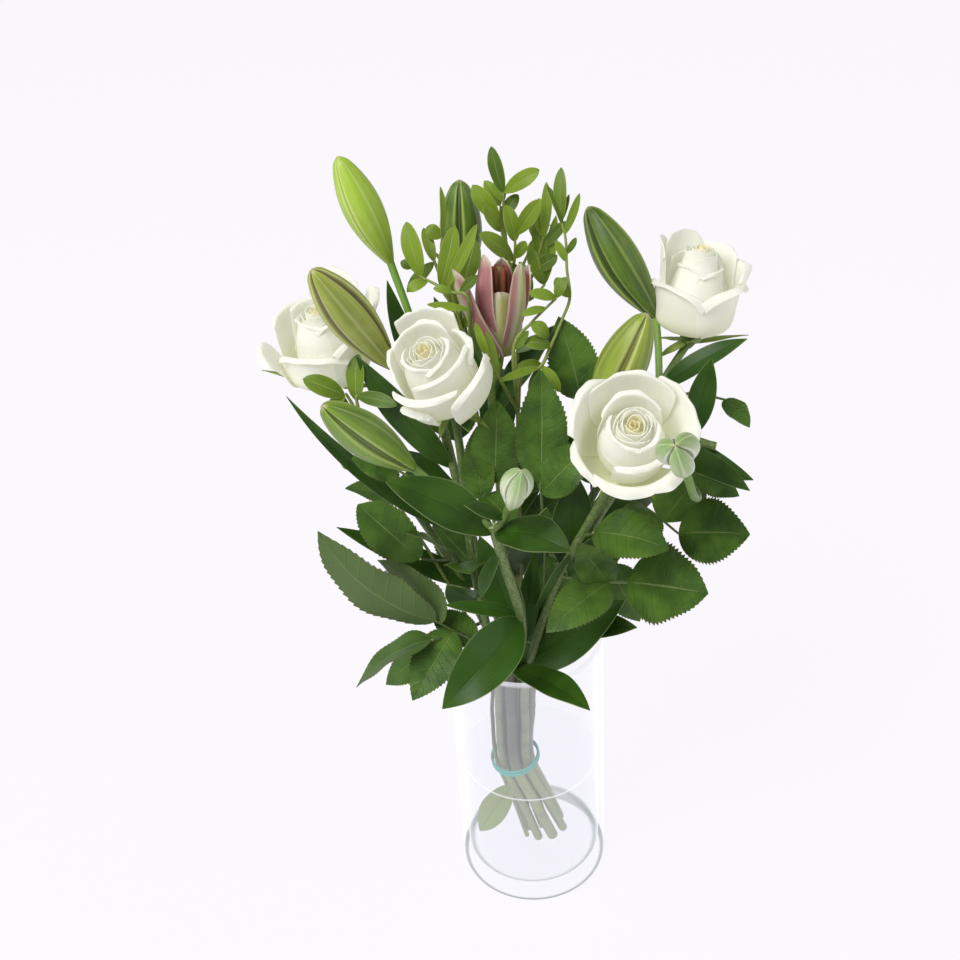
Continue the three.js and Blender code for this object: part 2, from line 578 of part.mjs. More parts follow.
        leaflets: [
          { root: [72, 72, 282], tip: [92, 112, 288], width: 32, lift: 4, face: [0, 0.3, 1] },
          { root: [64, 60, 279], tip: [98, 66, 284], width: 26, lift: 3, face: [0, 0, 1] },
          { root: [64, 60, 279], tip: [44, 96, 286], width: 26, lift: 3, face: [0, 0.3, 1] },
        ] },
    ],
  },
  rose_stem_4: {
    slot: [-8.5, 3],
    above: [[-42, 0, 255], [-76, 26, 305], [-100, 47, 340]],
    bloom: {
      base: [-110, 56, 361], axis: [-0.08, -0.05, 1], size: 1, turn: 120,
      petals: [
        { turn: 255, half: 55, belly: 26, rim: 27, height: 31, roll: 3, drop: 8 },
        { turn: 192, half: 26, belly: 27, rim: 37, height: 30, roll: 4, drop: 6 },
        { turn: 330, half: 45, belly: 26, rim: 28, height: 38, roll: 3, drop: 8 },
        { turn: 62, half: 45, belly: 24, rim: 26, height: 61, roll: 2, drop: 6 },
        { turn: 5, half: 34, belly: 26, rim: 35, height: 53, roll: 3, drop: 8 },
        { turn: 140, half: 42, belly: 26, rim: 27, height: 44, roll: 4, drop: 6 },
      ],
    },
    sepals: [
      { turn: -75, reach: 20, droop: -25 }, { turn: 0, reach: 22, droop: 25 },
      { turn: 70, reach: 22, droop: 20 }, { turn: 128, reach: 22, droop: 20 },
      { turn: 176, reach: 38, droop: -16 },
    ],
    sprigs: [
      { stalk: [[-44, 2, 260], [-52, -12, 270], [-60, -24, 281]],
        leaflets: [
          { root: [-60, -24, 281], tip: [-93, -22, 321], width: 27, lift: 9,
            face: [-0.5, -0.3, 0.8], twist: 40 },
        ] },
      { stalk: [[-28, -14, 222], [-44, -32, 228], [-56, -42, 233]],
        leaflets: [
          { root: [-56, -42, 233], tip: [-104, -50, 205], width: 30, lift: 6, face: [-0.2, 0.2, 0.9] },
        ] },
      { stalk: [[-48, 5, 266], [-66, 34, 276], [-80, 50, 282]],
        plain: true,
        leaflets: [
          { root: [-80, 50, 282], tip: [-116, 82, 288], width: 32, lift: 4, face: [0, 0.3, 1] },
          { root: [-70, 38, 278], tip: [-108, 34, 295], width: 26, lift: 3, face: [0, 0, 1] },
          { root: [-70, 38, 278], tip: [-56, 76, 284], width: 26, lift: 3, face: [0, 0.3, 1] },
        ] },
    ],
  },
};

const BRANCHES = {
  pistache_1: {
    slot: [1.2, 1.6],
    above: [[-2, 8, 262], [2, 60, 335], [4, 88, 385], [0, 99, 420], [-2, 104, 446]],
    sprigs: [
      { stalk: [[-1, 100, 437], [-1, 106, 455]],
        leaflets: [
          { root: [-1, 106, 455], tip: [-7, 112, 482], width: 9, lift: 2, face: [-0.3, -0.7, 0.6] },
          { root: [-1, 106, 455], tip: [21, 102, 470], width: 10, lift: 3, face: [0.3, -0.7, 0.6] },
          { root: [-2, 104, 450], tip: [-6, 110, 461], width: 8, lift: 1, face: [0, -0.7, 0.7] },
        ] },
      { stalk: [[-1, 92, 416], [-2, 92, 431], [-4, 93, 442]],
        leaflets: [
          { root: [-4, 93, 442], tip: [-19, 96, 465], width: 11, lift: 3, face: [-0.3, -0.7, 0.6] },
          { root: [-3, 92, 436], tip: [-13, 86, 455], width: 8, lift: 1, face: [0, -0.7, 0.7] },
        ] },
      { stalk: [[-1, 88, 409], [4, 88, 420], [5, 90, 434]],
        leaflets: [
          { root: [5, 90, 430], tip: [0, 95, 452], width: 10, lift: 2, face: [0.4, -0.8, 0.4] },
          { root: [5, 90, 434], tip: [8, 94, 442], width: 4, lift: 1, face: [0.3, -0.7, 0.6] },
          { root: [4, 88, 418], tip: [-16, 80, 441], width: 11, lift: 4, face: [0, -0.7, 0.7] },
          { root: [4, 88, 420], tip: [11, 86, 432], width: 7, lift: 2, face: [0.3, -0.7, 0.6] },
          { root: [4, 92, 442], tip: [20, 88, 457], width: 10, lift: 3, face: [0.3, -0.7, 0.6] },
        ] },
      { stalk: [[-2, 78, 398], [12, 84, 394], [22, 90, 401]],
        leaflets: [
          { root: [24, 90, 397], tip: [15, 96, 428], width: 13, lift: 3, face: [0, -0.7, 0.7] },
          { root: [22, 90, 401], tip: [19, 100, 449], width: 9, lift: 3, face: [-0.3, -0.7, 0.6] },
          { root: [29, 86, 402], tip: [30, 96, 443], width: 7, lift: 2, face: [0, -0.7, 0.7] },
          { root: [12, 84, 394], tip: [7, 88, 418], width: 9, lift: 2, face: [0.3, -0.7, 0.6] },
        ] },
      { stalk: [[-1, 80, 403], [10, 104, 410], [17, 122, 417]],
        leaflets: [
          { root: [17, 122, 417], tip: [13, 130, 429], width: 10, lift: 3, face: [0, 0.4, 0.9] },
          { root: [17, 122, 417], tip: [28, 126, 424], width: 10, lift: 3, face: [0, 0.4, 0.9] },
          { root: [13, 114, 414], tip: [23, 120, 409], width: 9, lift: 2, face: [0, 0.4, 0.9] },
        ] },
    ],
  },
  pistache_2: {
    slot: [-12.5, -1.6],
    above: [[-50, -8, 260], [-78, 14, 306], [-92, 26, 350]],
    sprigs: [
      { stalk: [[-96, 25, 365], [-98, 24, 367], [-99, 22, 368]],
        leaflets: [
          { root: [-99, 22, 367], tip: [-122, 20, 382], width: 12, lift: 3, face: [0, -0.7, 0.7] },
          { root: [-99, 22, 367], tip: [-109, 18, 365], width: 6, lift: 1, face: [0.3, -0.7, 0.6] },
        ] },
      { stalk: [[-96, 26, 364], [-93, 25, 365], [-91, 24, 366]],
        leaflets: [
          { root: [-92, 25, 362], tip: [-90, 34, 389], width: 12, lift: 3, face: [-0.3, -0.7, 0.6] },
          { root: [-96, 25, 373], tip: [-68, 10, 367], width: 9, lift: 3, face: [0, -0.7, 0.7] },
        ] },
    ],
  },
  pistache_3: {
    slot: [1.2, -2],
    above: [[0, -8, 262], [0, 12, 325], [2, 22, 352]],
    sprigs: [
      { stalk: [[-8, 20, 374], [1, 26, 392], [12, 34, 404], [27, 42, 415]],
        leaflets: [
          { root: [27, 42, 415], tip: [11, 38, 421], width: 7, lift: 2, face: [0, -0.7, 0.7] },
          { root: [21, 38, 411], tip: [6, 32, 410], width: 5, lift: 2, face: [0, -0.7, 0.7] },
          { root: [1, 26, 391], tip: [10, 30, 401], width: 5, lift: 1, face: [0.3, -0.7, 0.6] },
          { root: [27, 42, 415], tip: [33, 46, 426], width: 7, lift: 2, face: [-0.3, -0.7, 0.6] },
          { root: [11, 34, 404], tip: [21, 34, 394], width: 9, lift: 3, face: [0.3, -0.7, 0.6] },
        ] },
      { stalk: [[-8, 20, 374], [-12, 18, 387], [-14, 18, 395]],
        leaflets: [
          { root: [-7, 20, 380], tip: [-14, 22, 406], width: 5, lift: 1, face: [0.3, -0.7, 0.6] },
          { root: [-13, 18, 390], tip: [-20, 22, 412], width: 5, lift: 2, face: [-0.3, -0.7, 0.6] },
          { root: [-9, 16, 379], tip: [-20, 10, 387], width: 5, lift: 2, face: [0, -0.7, 0.7] },
        ] },
      { stalk: [[-7, 20, 375], [5, 22, 377], [16, 26, 379], [23, 34, 389], [30, 42, 401],
                [35, 48, 412], [34, 56, 426], [34, 64, 441], [32, 70, 450]],
        leaflets: [
          { root: [16, 26, 379], tip: [-8, 10, 380], width: 5, lift: 2, face: [0, -0.7, 0.7] },
          { root: [15, 26, 378], tip: [11, 16, 360], width: 9, lift: 2, face: [0, -0.7, 0.7] },
          { root: [17, 26, 380], tip: [27, 20, 365], width: 7, lift: 2, face: [0.3, -0.7, 0.6] },
          { root: [23, 34, 389], tip: [7, 28, 394], width: 9, lift: 3, face: [0, -0.7, 0.7] },
          { root: [32, 70, 450], tip: [33, 80, 479], width: 8, lift: 3, face: [-0.3, -0.7, 0.6] },
          { root: [31, 69, 448], tip: [24, 76, 470], width: 6, lift: 2, face: [0.6, -0.6, 0.5] },
          { root: [35, 66, 444], tip: [43, 74, 465], width: 5, lift: 1, face: [0.3, -0.7, 0.6] },
          { root: [32, 70, 450], tip: [37, 76, 464], width: 3, lift: 1, face: [0, -0.7, 0.7] },
          { root: [34, 60, 434], tip: [40, 62, 443], width: 4, lift: 1, face: [0.3, -0.7, 0.6] },
          { root: [35, 48, 412], tip: [27, 46, 426], width: 8, lift: 2, face: [-0.3, -0.7, 0.6] },
          { root: [34, 58, 430], tip: [28, 62, 442], width: 5, lift: 1, face: [0, -0.7, 0.7] },
        ] },
    ],
  },
  pistache_4: {
    slot: [-2.6, 0.2],
    above: [[-14, 2, 262], [-22, 40, 330], [-26, 62, 368]],
    sprigs: [
      { stalk: [[-15, 41, 406], [-24, 43, 416], [-33, 48, 419], [-40, 54, 420],
                [-51, 62, 423], [-57, 66, 427]],
        leaflets: [
          { root: [-51, 62, 423], tip: [-58, 72, 454], width: 12, lift: 3, face: [-0.3, -0.7, 0.6] },
          { root: [-40, 54, 422], tip: [-30, 66, 453], width: 11, lift: 3, face: [0.3, -0.7, 0.6] },
          { root: [-28, 47, 427], tip: [-17, 56, 447], width: 9, lift: 3, face: [0.3, -0.7, 0.6] },
          { root: [-44, 60, 433], tip: [-59, 54, 418], width: 7, lift: 3, face: [-0.4, -0.7, 0.5] },
          { root: [-57, 66, 427], tip: [-63, 68, 431], width: 6, lift: 1, face: [0, -0.7, 0.7] },
          { root: [-32, 44, 408], tip: [-48, 44, 414], width: 5, lift: 1, face: [0, -0.7, 0.7] },
          { root: [-34, 48, 414], tip: [-44, 48, 422], width: 5, lift: 2, face: [0, -0.7, 0.7] },
          { root: [-27, 46, 420], tip: [-18, 48, 429], width: 6, lift: 1, face: [0.3, -0.7, 0.6] },
        ] },
      { stalk: [[-40, 54, 420], [-38, 72, 427], [-39, 88, 436]],
        leaflets: [
          { root: [-40, 88, 438], tip: [-38, 98, 464], width: 5, lift: 2, face: [0.7, -0.6, 0.4] },
          { root: [-39, 88, 436], tip: [-48, 90, 442], width: 9, lift: 2, face: [-0.3, -0.7, 0.6] },
        ] },
      { stalk: [[-19, 64, 385], [-31, 90, 403], [-39, 108, 407]],
        leaflets: [
          { root: [-39, 108, 407], tip: [-50, 114, 416], width: 11, lift: 3, face: [0, 0.4, 0.9] },
          { root: [-39, 108, 407], tip: [-29, 114, 412], width: 11, lift: 3, face: [0, 0.4, 0.9] },
          { root: [-33, 96, 404], tip: [-43, 98, 401], width: 9, lift: 2, face: [0, 0.4, 0.9] },
        ] },
    ],
  },
};

const BUDS = {
  lily_bud_1: { base: [-70, 75, 428], tip: [-94, 75, 494], width: 23, bend: -1.5, turn: 4 },
  lily_bud_2: { base: [-70, 25, 385], tip: [-106, 5, 457], width: 27, bend: 2, turn: 110 },
  lily_bud_3: { base: [-57, -46, 360], tip: [-97, -74, 418], width: 24, bend: 3, turn: 38 },
  lily_bud_4: { base: [-29, 105, 396], tip: [-27, 110, 463], width: 26, bend: 0, turn: 26 },
  lily_bud_5: { base: [89, 80, 381], tip: [49, 95, 448], width: 27, bend: -3, turn: 118 },
  lily_bud_6: { base: [47, 10, 352], tip: [75, 5, 421], width: 28, bend: 2, turn: 18 },
  lily_bud_small_1: { base: [-4, -84, 358], tip: [2, -96, 388], width: 18, bend: 0, turn: 90, groove: 0.3 },
  lily_bud_small_2: { base: [86, -78, 376], tip: [78, -101, 402], width: 24, bend: 0, turn: 90, groove: 0.3 },
};

const OPEN_LILY = {
  base: [-7, 60, 370],
  axis: [0.03, 0.16, 0.98],
  tepals: [
    { turn: -88, lean: 7, length: 43, width: 26, curl: 0, start: 5 },
    { turn: -160, lean: 20, length: 62, width: 18, curl: 1, start: 4 },
    { turn: 24, lean: 14, length: 55, width: 19, curl: 1, start: 4 },
    { turn: 140, lean: 1, length: 64, width: 18, curl: 1, start: 3 },
    { turn: 78, lean: 4, length: 58, width: 17, curl: 1, start: 2.5 },
    { turn: -35, lean: 8, length: 59, width: 14, curl: 1, start: 3 },
  ],
  stamens: { count: 6, foot: 13, spread: 4, height: 42 },
};

// ---------------------------------------------------------------- solids and the scene graph

/** A closed geometry as a solid, its double vertices merged and its empty triangles dropped. */
function solidOf(geometry, grow = 0) {
  const bare = new THREE.BufferGeometry();
  bare.setAttribute('position', geometry.attributes.position.clone());
  bare.setIndex([...(geometry.index?.array ?? geometry.attributes.position.array.keys())]);
  const merged = mergeVertices(bare, MERGE);
  const kept = [];
  const index = merged.index.array;
  for (let i = 0; i < index.length; i += 3) {
    const [a, b, c] = index.slice(i, i + 3);
    if (a !== b && b !== c && c !== a) kept.push(a, b, c);
  }
  merged.setIndex(kept);
  if (grow > 0) pushOut(merged, grow);
  return new wasm.Manifold(new wasm.Mesh({
    numProp: 3,
    vertProperties: Float32Array.from(merged.attributes.position.array),
    triVerts: Uint32Array.from(kept),
  }));
}

/** Moves each vertex out along its normal. */
function pushOut(geometry, distance) {
  geometry.computeVertexNormals();
  const { position, normal } = geometry.attributes;
  for (let i = 0; i < position.count; i += 1) {
    const point = new THREE.Vector3().fromBufferAttribute(position, i);
    point.addScaledVector(new THREE.Vector3().fromBufferAttribute(normal, i), distance);
    position.setXYZ(i, ...point);
  }
}

function geometryOf(solid) {
  const { vertProperties, triVerts } = solid.getMesh();
  const { points, faces } = drawTogether(vertProperties, triVerts);
  const geometry = new THREE.BufferGeometry();
  geometry.setAttribute('position', new THREE.Float32BufferAttribute(points, 3));
  geometry.setIndex(faces);
  geometry.computeVertexNormals();
  return geometry;
}

/** Collapses edges under SHORTEST_EDGE where the surface stays closed and no face turns over. */
function drawTogether(numbers, corners) {
  const threes = (list) => Array.from({ length: list.length / 3 }, (_, i) => list.slice(3 * i, 3 * i + 3));
  const points = threes(numbers).map((point) => vec(point));
  const faces = threes(corners).map((face) => [...face]);
  const around = points.map(() => new Set());
  faces.forEach((face, f) => face.forEach((p) => around[p].add(f)));
  const neighbours = (p) => new Set([...around[p]].flatMap((f) => faces[f]).filter((q) => q !== p));
  const normalOf = (face) => {
    const [a, b, c] = face.map((p) => points[p]);
    return b.clone().sub(a).cross(c.clone().sub(a));
  };
  const tryCollapse = (a, b) => {
    const shared = [...around[a]].filter((f) => around[b].has(f));
    const near = neighbours(b);
    const common = [...neighbours(a)].filter((p) => near.has(p));
    if (shared.length !== 2 || common.length !== 2) return false;
    const moving = [...around[a], ...around[b]].filter((f) => !shared.includes(f));
    const before = moving.map((f) => normalOf(faces[f]));
    const [oldA, oldB] = [points[a].clone(), points[b].clone()];
    points[a].lerp(oldB, 0.5);
    points[b].copy(points[a]);
    const turned = moving.some((f, i) => {
      const now = normalOf(faces[f]);
      return now.length() < 1e-3 || now.angleTo(before[i]) > 0.6;
    });
    if (turned) {
      points[a].copy(oldA);
      points[b].copy(oldB);
      return false;
    }
    for (const f of shared) faces[f].forEach((p) => around[p].delete(f));
    for (const f of around[b]) {
      faces[f] = faces[f].map((p) => (p === b ? a : p));
      around[a].add(f);
    }
    around[b].clear();
    return true;
  };
  for (let p = 0; p < points.length; p += 1) {
    for (const q of neighbours(p)) {
      if (around[q].size && points[p].distanceTo(points[q]) < SHORTEST_EDGE) tryCollapse(p, q);
    }
  }
  const kept = new Set([...around].flatMap((set) => [...set]));
  return {
    points: points.flatMap((point) => [...point]),
    faces: [...kept].sort((x, y) => x - y).flatMap((f) => faces[f]),
  };
}

const boxesMeet = (a, b) => [0, 1, 2].every((k) => a.min[k] < b.max[k] && b.min[k] < a.max[k]);

const nodes = new Map();       // name -> { material, firm: [shapes], leafy: [shapes] }

function addNode(name, material, firm, leafy = []) {
  nodes.set(name, { material, firm, leafy });
}

/** Cuts each node clear of those made before it: stems and flowers first, then the blades. */
function separate() {
  const claims = [];           // { owner, solid } with GAP round each shape already placed
  const bodies = new Map([...nodes.keys()].map((name) => [name, []]));
  for (const layer of ['firm', 'leafy']) {
    for (const [name, node] of nodes) {
      const added = [];
      for (const shape of node[layer]) {
        let solid = solidOf(shape);
        if (node.hole) solid = solid.subtract(solidOf(node.hole));
        const box = solid.boundingBox();
        for (const claim of claims) {
          if (claim.owner !== name && boxesMeet(box, claim.box)) solid = solid.subtract(claim.solid);
        }
        bodies.get(name).push(solid);
        const grown = solidOf(shape, GAP * PUSH);
        added.push({ owner: name, solid: grown, box: grown.boundingBox() });
      }
      claims.push(...added);
    }
  }
  return bodies;
}

/** The largest connected body of a set of solids; loose scraps and sealed hollows are dropped. */
function fused(solids) {
  const all = solids.reduce((sum, solid) => sum.add(solid));
  const parts = all.decompose();
  parts.sort((a, b) => b.volume() - a.volume());
  return parts[0];
}

// ---------------------------------------------------------------- the pieces

const FOOT_EDGE = 3;         // bevel round the vase's foot
const LIP_EDGE = 1.2;        // bevel of its lip
const INNER_CORNER = 6;      // bevel inside, between the wall and the base

function vaseShape() {
  const r = VASE_RADIUS;
  const inner = r - VASE_WALL;
  return turned([
    [0, 0], [r - FOOT_EDGE, 0], [r, FOOT_EDGE],
    [r, VASE_HEIGHT - LIP_EDGE], [r - LIP_EDGE, VASE_HEIGHT],
    [inner + LIP_EDGE, VASE_HEIGHT], [inner, VASE_HEIGHT - LIP_EDGE],
    [inner, VASE_FLOOR + INNER_CORNER], [inner - INNER_CORNER, VASE_FLOOR], [0, VASE_FLOOR],
  ], VASE_SIDES);
}

function waterShape() {
  const r = VASE_RADIUS - VASE_WALL - 2.5 * GAP;
  const low = VASE_FLOOR + 2 * GAP;
  return turned([
    [0, low], [r - INNER_CORNER, low], [r, low + INNER_CORNER], [r, WATER_LEVEL], [0, WATER_LEVEL],
  ], WATER_SIDES);
}

const HOLE_FLOOR = 2;        // water left under the bunch's hole
const HOLE_ABOVE = 5;        // the hole runs on above the water, so that it's open at the top
const HOLE_BACK = 1.4;       // the slots sit this much to the back of the bunch's centre

/** The plain hole in the water that the tied bunch stands in: level sections round the slots. */
function bunchHole() {
  const low = VASE_FLOOR + HOLE_FLOOR;
  const high = WATER_LEVEL + HOLE_ABOVE;
  const hole = new THREE.CylinderGeometry(1, 1, high - low, 12, 3).rotateX(Math.PI / 2);
  hole.translate(0, 0, (high + low) / 2);
  const position = hole.attributes.position;
  for (let i = 0; i < position.count; i += 1) {
    const z = position.getZ(i);
    const next = Math.max(1, BUNCH.findIndex((section) => section.z > z));
    const [a, b] = [BUNCH[next - 1], BUNCH[next]];
    const t = Math.max((z - a.z) / (b.z - a.z), 0);
    const radius = BUNCH_RADIUS * lerp(a.spread, b.spread, t);
    const x = lerp(a.centre[0], b.centre[0], t) + radius * position.getX(i);
    const y = lerp(a.centre[1], b.centre[1], t) + radius * position.getY(i) + HOLE_BACK;
    position.setXYZ(i, x, y, z);
  }
  return hole;
}

function bandShape() {
  const ring = new THREE.TorusGeometry(BAND_RADIUS, BAND_THICKNESS / 2, 5, 20);
  ring.scale(1, 1, BAND_WIDTH / BAND_THICKNESS);
  ring.rotateX(radians(BAND_TILT[0]));
  ring.rotateY(radians(BAND_TILT[1]));
  ring.translate(...BAND_CENTRE);
  return ring;
}

function addLily(name, { slot, above, pedicels, leaves }) {
  const stem = route([...throughBunch(slot), ...above]);
  const firm = [tube(stem, taper(LILY_STEM_RADIUS, LILY_STEM_RADIUS * 0.72), 6)];
  const stalks = pedicels.map((points) => route(points));
  for (const stalk of stalks) {
    firm.push(tube(stalk, taper(PEDICEL_RADIUS, PEDICEL_RADIUS * 1.15), 5));
  }
  const blades = leaves.map((blade) => {
    const holders = [stem, ...stalks].map((curve) => nearestOn(curve, blade.root));
    holders.sort((a, b) => a.distanceTo(vec(blade.root)) - b.distanceTo(vec(blade.root)));
    return leaf('lily', { ...blade, root: [...holders[0]] });
  });
  addNode(name, MATERIALS.lilyGreen, firm, blades);
}

const THORNS = [0.45, 0.61, 0.77];   // how far along its stem each thorn of a rose stands

function addRose(name, { slot, above, bloom, sepals, sprigs, dipped }) {
  const foot = vec(bloom.axis).normalize().multiplyScalar(-6).add(vec(bloom.base));
  const stem = route([...throughBunch(slot), ...above, [...foot]]);
  const [cup, ...sepalBlades] = roseCalyx(bloom, sepals);
  const { stalks, blades } = sprigsOn(stem, sprigs, 'rose');
  const thorns = THORNS.map((at, i) => thorn(stem, at, 140 * i));
  const shaft = tube(stem, taper(ROSE_STEM_RADIUS, ROSE_STEM_RADIUS * 0.8), 6);
  blades.unshift(...sepalBlades);
  if (dipped) blades.push(leaf('lily', { ...dipped, root: [...nearestOn(stem, dipped.root)] }));
  addNode(name, MATERIALS.roseGreen, [shaft, cup, ...thorns, ...stalks], blades);
}

/** A small thorn standing out of a stem. */
function thorn(stem, at, turn) {
  const spike = new THREE.ConeGeometry(1.5, 6, 4);
  spike.translate(0, 4.2, 0);
  const out = new THREE.Vector3(Math.cos(radians(turn)), Math.sin(radians(turn)), -0.3).normalize();
  const spin = new THREE.Quaternion().setFromUnitVectors(new THREE.Vector3(0, 1, 0), out);
  spike.applyQuaternion(spin);
  return spike.translate(...nearestOn(stem, [...stem.getPointAt(at)]));
}

function addBranch(name, { slot, above, sprigs }) {
  const stem = route([...throughBunch(slot), ...above]);
  const { stalks, blades } = sprigsOn(stem, sprigs, 'leaflet');
  const shaft = tube(stem, taper(BRANCH_RADIUS, BRANCH_RADIUS * 0.5), 4);
  addNode(name, MATERIALS.branchGreen, [shaft, ...stalks], blades);
}

// The opening lily's own base, inside its tepals: radius and height of each ring.
const LILY_HEART = [[0, 0], [3, 0.5], [6.5, 5], [5, 11], [0, 12]];

function addOpenLily({ base, axis, tepals, stamens }) {
  const frame = standingFrame(base, axis);
  const place = (shapes) => shapes.map((shape) => shape.applyMatrix4(frame));
  const blades = tepals.map((tepal) => sheet(lilyTepal(tepal), TEPAL_THICKNESS, 2, 4));
  const heart = turned(LILY_HEART, 8);
  addNode('lily_opening_tepals', MATERIALS.lilyPetal, place([...blades, heart]));
  addNode('lily_opening_stamens', MATERIALS.stamen, place(lilyStamens(stamens)));
}

/** The style and the ring of stamens round it: slim stalks that thicken into long anthers. */
function lilyStamens({ count, foot, spread, height }) {
  const shapes = [tube(route([[0, 0, foot], [0, 0.2, foot + height]]), taper(2, 1.1), 4)];
  const radiusAt = (s) => (s < 0.4 ? 0.7 : 1.5 - 0.8 * Math.abs(s - 0.7));
  for (let i = 0; i < count; i += 1) {
    const angle = (2 * Math.PI * i) / count;
    const [x, y] = [spread * Math.cos(angle), spread * Math.sin(angle)];
    const low = [x * 0.2, y * 0.2, foot + 1];
    const middle = [x, y, foot + height * 0.5];
    const high = [x * 1.1, y * 1.1, foot + height];
    shapes.push(tube(route([low, middle, high]), radiusAt, 4));
  }
  return shapes;
}

// ---------------------------------------------------------------- assembly

addNode('vase', MATERIALS.glass, [vaseShape()]);
for (const [name, lily] of Object.entries(LILY_STEMS)) addLily(name, lily);
for (const [name, rose] of Object.entries(ROSE_STEMS)) {
  addRose(name, rose);
  addNode(name.replace('stem', 'bloom'), MATERIALS.rosePetal, roseBloom(rose.bloom));
}
for (const [name, shape] of Object.entries(BUDS)) {
  const material = name.includes('small') ? MATERIALS.paleBud : MATERIALS.budGreen;
  addNode(name, material, [bud(shape)]);
}
addOpenLily(OPEN_LILY);
for (const [name, branch] of Object.entries(BRANCHES)) addBranch(name, branch);
addNode('rubber_band', MATERIALS.rubber, [], [bandShape()]);
addNode('water', MATERIALS.water, [], [waterShape()]);
nodes.get('water').hole = bunchHole();

const group = new THREE.Group();
for (const [name, solids] of separate()) {
  const mesh = new THREE.Mesh(geometryOf(fused(solids)), nodes.get(name).material);
  mesh.name = name;
  group.add(mesh);
}

export default group;
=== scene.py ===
"""The looks of a mixed bouquet of white roses, lilies and pistache greenery in a glass vase.

Shapes are worked out in millimetres on the same routes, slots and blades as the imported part,
and each piece is scaled to metres when it is finished.
"""

import math
import random

import bmesh
import bpy
from mathutils import Matrix, Quaternion, Vector
from mathutils.kdtree import KDTree


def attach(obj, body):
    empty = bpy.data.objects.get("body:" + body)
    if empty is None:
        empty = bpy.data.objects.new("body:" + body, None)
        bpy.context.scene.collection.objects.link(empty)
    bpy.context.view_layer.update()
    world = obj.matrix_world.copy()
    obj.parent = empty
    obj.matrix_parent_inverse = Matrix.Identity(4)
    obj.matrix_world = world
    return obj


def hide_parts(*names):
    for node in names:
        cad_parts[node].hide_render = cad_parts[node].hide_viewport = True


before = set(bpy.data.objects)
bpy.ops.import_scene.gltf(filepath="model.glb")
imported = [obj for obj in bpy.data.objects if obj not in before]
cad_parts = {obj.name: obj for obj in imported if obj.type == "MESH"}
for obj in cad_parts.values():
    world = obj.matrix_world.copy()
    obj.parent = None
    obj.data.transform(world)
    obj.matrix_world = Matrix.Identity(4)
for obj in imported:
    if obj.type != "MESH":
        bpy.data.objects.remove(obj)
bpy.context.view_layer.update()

MM = 0.001
SEED = 20

# ------------------------------------------------------------------ sizes, mm

VASE_RADIUS = 50
VASE_HEIGHT = 200
VASE_WALL = 4
VASE_FLOOR = 12
VASE_SIDES = 128
FOOT_ROUND = 3                # how the foot's edge, the lip and the inside corner are rounded
LIP_ROUND = 1.9
INSIDE_ROUND = 7
WATER_LEVEL = 95
WATER_OVERLAP = 0.15          # the water reaches this far into the glass
MENISCUS = 1.6                # the water climbs this far up the glass

BAND_RADIUS = 15.6
STRAND_RADIUS = 0.85          # of each turn of the rubber band
BAND_TILT = (6, -8)
BAND_CENTRE = (-10, -13.6, 105)

LILY_STEM_RADIUS = 3.75
ROSE_STEM_RADIUS = 3
BRANCH_RADIUS = 1.6
PEDICEL_RADIUS = 2.1
PETIOLE_RADIUS = 0.9

LEAF_THICKNESS = 0.45
PETAL_THICKNESS = 0.4
TEPAL_THICKNESS = 0.9

# The bunch in level sections: height, centre, how far the slots spread, and their turn.
BUNCH = [
    (15, (9, 5), 1.3, 26),
    (60, (0, -6), 1.08, 12),
    (105, (-10, -15), 1, 0),
    (150, (-9.5, -22), 1.1, -9),
    (200, (-7, -28), 1.34, -16),
]

# ------------------------------------------------------------------ the plants' routes and blades

# Where a blade faces.
SUN = (0.1, -0.45, 0.85)
FRONT = (0, -0.7, 0.7)
FRONT_RIGHT = (0.3, -0.7, 0.6)
FRONT_LEFT = (-0.3, -0.7, 0.6)
BACK = (0, 0.4, 0.9)

END = None                    # the root of a blade at the end of its stalk

# Each blade: root, tip, width and lift, where it faces if not to the sun, its sway and twist.
# Each sprig: its stalk and its blades. Each petal: turn, half its spread, belly and rim radius,
# height, roll and drop. Each sepal: turn, reach and droop.

